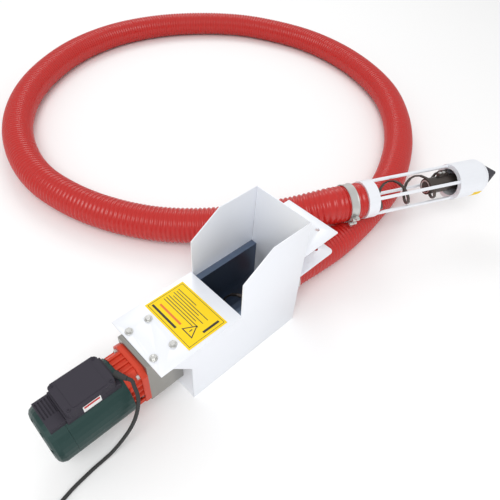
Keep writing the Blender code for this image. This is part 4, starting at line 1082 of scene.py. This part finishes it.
class AUGER_OT_markings(bpy.types.Operator):
    """Makes the generic label print and the small stickers"""

    bl_idname = "auger.markings"
    bl_label = "Labels"

    def execute(self, context):
        self.label_print()
        self.control_sticker()
        self.cap_sticker()
        return {"FINISHED"}

    def label_print(self):
        """A border, a warning triangle and plain bars across the label."""
        shape = bmesh.new()
        low = LABEL_HIGH.z
        high = low + SKIN / 2
        x0, x1 = LABEL_LOW.x + LABEL_MARGIN, LABEL_HIGH.x - LABEL_MARGIN
        y0, y1 = LABEL_LOW.y + LABEL_MARGIN, LABEL_HIGH.y - LABEL_MARGIN
        line = 0.0009
        for outline in (rectangle(x0, x1, y0, y0 + line), rectangle(x0, x1, y1 - line, y1),
                        rectangle(x0, x0 + line, y0 + line, y1 - line),
                        rectangle(x1 - line, x1, y0 + line, y1 - line)):
            add_slab(shape, outline, low, high)
        self.triangle(shape, (x0 + 0.022, y0 + 0.025), 0.0160, 0.0018, low, high)
        for start, thick, near, far in LABEL_BARS:
            add_slab(shape, rectangle(x0 + start, x0 + start + thick, y0 + near, y0 + far), low, high)
        add_slab(shape, rectangle(x0 + 0.036, x1 - 0.006, y0 + 0.006, y0 + 0.0105), low, high)
        made = add_object("label_print", to_mesh(shape, "label_print"), finish(print_black))
        finished(made, "frame")
        heading = bmesh.new()
        add_slab(heading, rectangle(x0 + 0.0165, x0 + 0.0205, y0 + 0.046, y0 + 0.104), low, high)
        made = add_object("label_heading", to_mesh(heading, "label_heading"), finish(print_orange))
        finished(made, "frame")

    def triangle(self, shape, centre, radius, line, low, high):
        """An open triangle with a bar in it."""
        turns = [math.radians(angle) for angle in (0, 120, 240)]
        outer = [Vector((centre[0] + radius * math.cos(a), centre[1] + radius * math.sin(a))) for a in turns]
        inner = [Vector((centre[0] + (radius - 2 * line) * math.cos(a),
                         centre[1] + (radius - 2 * line) * math.sin(a))) for a in turns]
        for k in range(3):
            j = (k + 1) % 3
            add_slab(shape, [tuple(p) for p in (outer[k], outer[j], inner[j], inner[k])], low, high)
        add_slab(shape, rectangle(centre[0] - 0.0022, centre[0] + 0.0042, centre[1] - 0.0009,
                                  centre[1] + 0.0009), low, high)

    def control_sticker(self):
        """A white sticker with a red band on the near wall of the control box."""
        near = CONTROL_LOW.y - SKIN
        upright = Matrix.Translation((-0.295, near, 0.1385)) @ Matrix.Rotation(math.pi / 2, 4, "X")
        for name, outline, lift, builder in (
                ("sticker", rectangle(-0.015, 0.015, -0.0075, 0.0075), 0.0, print_white),
                ("sticker_band", rectangle(-0.013, 0.013, 0.0012, 0.0060), SKIN, print_red)):
            shape = bmesh.new()
            add_slab(shape, outline, lift - SKIN / 2, lift + SKIN / 2, upright)
            made = add_object(f"control_{name}", to_mesh(shape, f"control_{name}"), finish(builder))
            finished(made, "frame")

    def cap_sticker(self):
        """A small yellow patch bent round the low near side of the intake cap."""
        shape = bmesh.new()
        rows = []
        for k in range(9):
            a = math.radians(195 + 4.5 * k)
            rows.append([shape.verts.new(INTAKE_AXES @ Vector((CAP_X + x, r * math.cos(a), r * math.sin(a))))
                         for x, r in ((0.050, COLLAR_R + SKIN), (0.073, COLLAR_R + SKIN),
                                      (0.073, COLLAR_R - 0.001), (0.050, COLLAR_R - 0.001))])
        for first, second in zip(rows, rows[1:]):
            for k in range(4):
                j = (k + 1) % 4
                shape.faces.new((first[k], first[j], second[j], second[k]))
        shape.faces.new(rows[0])
        shape.faces.new(rows[-1])
        made = add_object("cap_sticker", to_mesh(shape, "cap_sticker"), finish(label_yellow))
        finished(made, "frame")


class AUGER_OT_intake_details(bpy.types.Operator):
    """Adds the bolts that hold the spiral to its hub, and the hub's bright end ring"""

    bl_idname = "auger.intake_details"
    bl_label = "Intake hub"

    def execute(self, context):
        shape = bmesh.new()
        key_axes = INTAKE_AXES @ Matrix.Rotation(INTAKE_KEY_TURN - math.pi / 2, 4, "X")
        for x in (CAP_X - 0.0275, CAP_X - 0.0175):
            seat = key_axes @ Matrix.Translation((x, 0, 0.0266)) @ UPRIGHT
            head = ((0, 0), (0, 0.0042), (0.0022, 0.0042), (0.0032, 0.0034), (0.0034, 0.0016), (0.0034, 0))
            add_turned(shape, head, 20, seat)
        ring_x = CAP_X - 0.067
        section = ((ring_x - 0.0008, 0.0130), (ring_x - 0.0008, 0.0160), (ring_x + 0.0006, 0.0160),
                   (ring_x + 0.0006, 0.0130))
        add_ring(shape, section, 40, INTAKE_AXES)
        made = add_object("hub_bolts", to_mesh(shape, "hub_bolts"), finish(zinc))
        finished(made, "intake_screw")
        return {"FINISHED"}


class AUGER_OT_finishes(bpy.types.Operator):
    """Gives every CAD node that still shows the finish of its slot"""

    bl_idname = "auger.finishes"
    bl_label = "Finishes"

    def execute(self, context):
        builders = {builder.__name__: builder for builder in FINISHES}
        for name, node in NODES.items():
            node.data.materials.clear()
            node.data.materials.append(finish(builders[slot_of(name)]))
        return {"FINISHED"}


OPERATORS = (AUGER_OT_stage, AUGER_OT_hose, AUGER_OT_mains_lead, AUGER_OT_sheet_metal, AUGER_OT_castings,
             AUGER_OT_fasteners, AUGER_OT_hose_clamps, AUGER_OT_markings, AUGER_OT_intake_details,
             AUGER_OT_finishes)


class AUGER_PT_panel(bpy.types.Panel):
    """Lists the auger's sizes, colours and steps"""

    bl_idname = "AUGER_PT_panel"
    bl_label = "Hose grain auger"
    bl_space_type = "VIEW_3D"
    bl_region_type = "UI"
    bl_category = "Auger"

    def draw(self, context):
        for look in LOOKS:
            box = self.layout.box()
            for key in look.__annotations__:
                box.prop(getattr(context.scene, LOOKS[look]), key)
        for operator in OPERATORS:
            self.layout.operator(operator.bl_idname)


LOOKS = {HoseLook: "auger_hose", LeadLook: "auger_lead", EdgeLook: "auger_edges", PaintLook: "auger_paint",
         StageLook: "auger_stage"}


def register():
    for look, name in LOOKS.items():
        bpy.utils.register_class(look)
        setattr(bpy.types.Scene, name, PointerProperty(type=look))
    for item in (*OPERATORS, AUGER_PT_panel):
        bpy.utils.register_class(item)


def unregister():
    for item in reversed((*OPERATORS, AUGER_PT_panel)):
        bpy.utils.unregister_class(item)
    for look, name in LOOKS.items():
        delattr(bpy.types.Scene, name)
        bpy.utils.unregister_class(look)


def main():
    register()
    for operator in OPERATORS:
        group_name, call = operator.bl_idname.split(".")
        getattr(getattr(bpy.ops, group_name), call)()


if __name__ == "__main__":
    main()
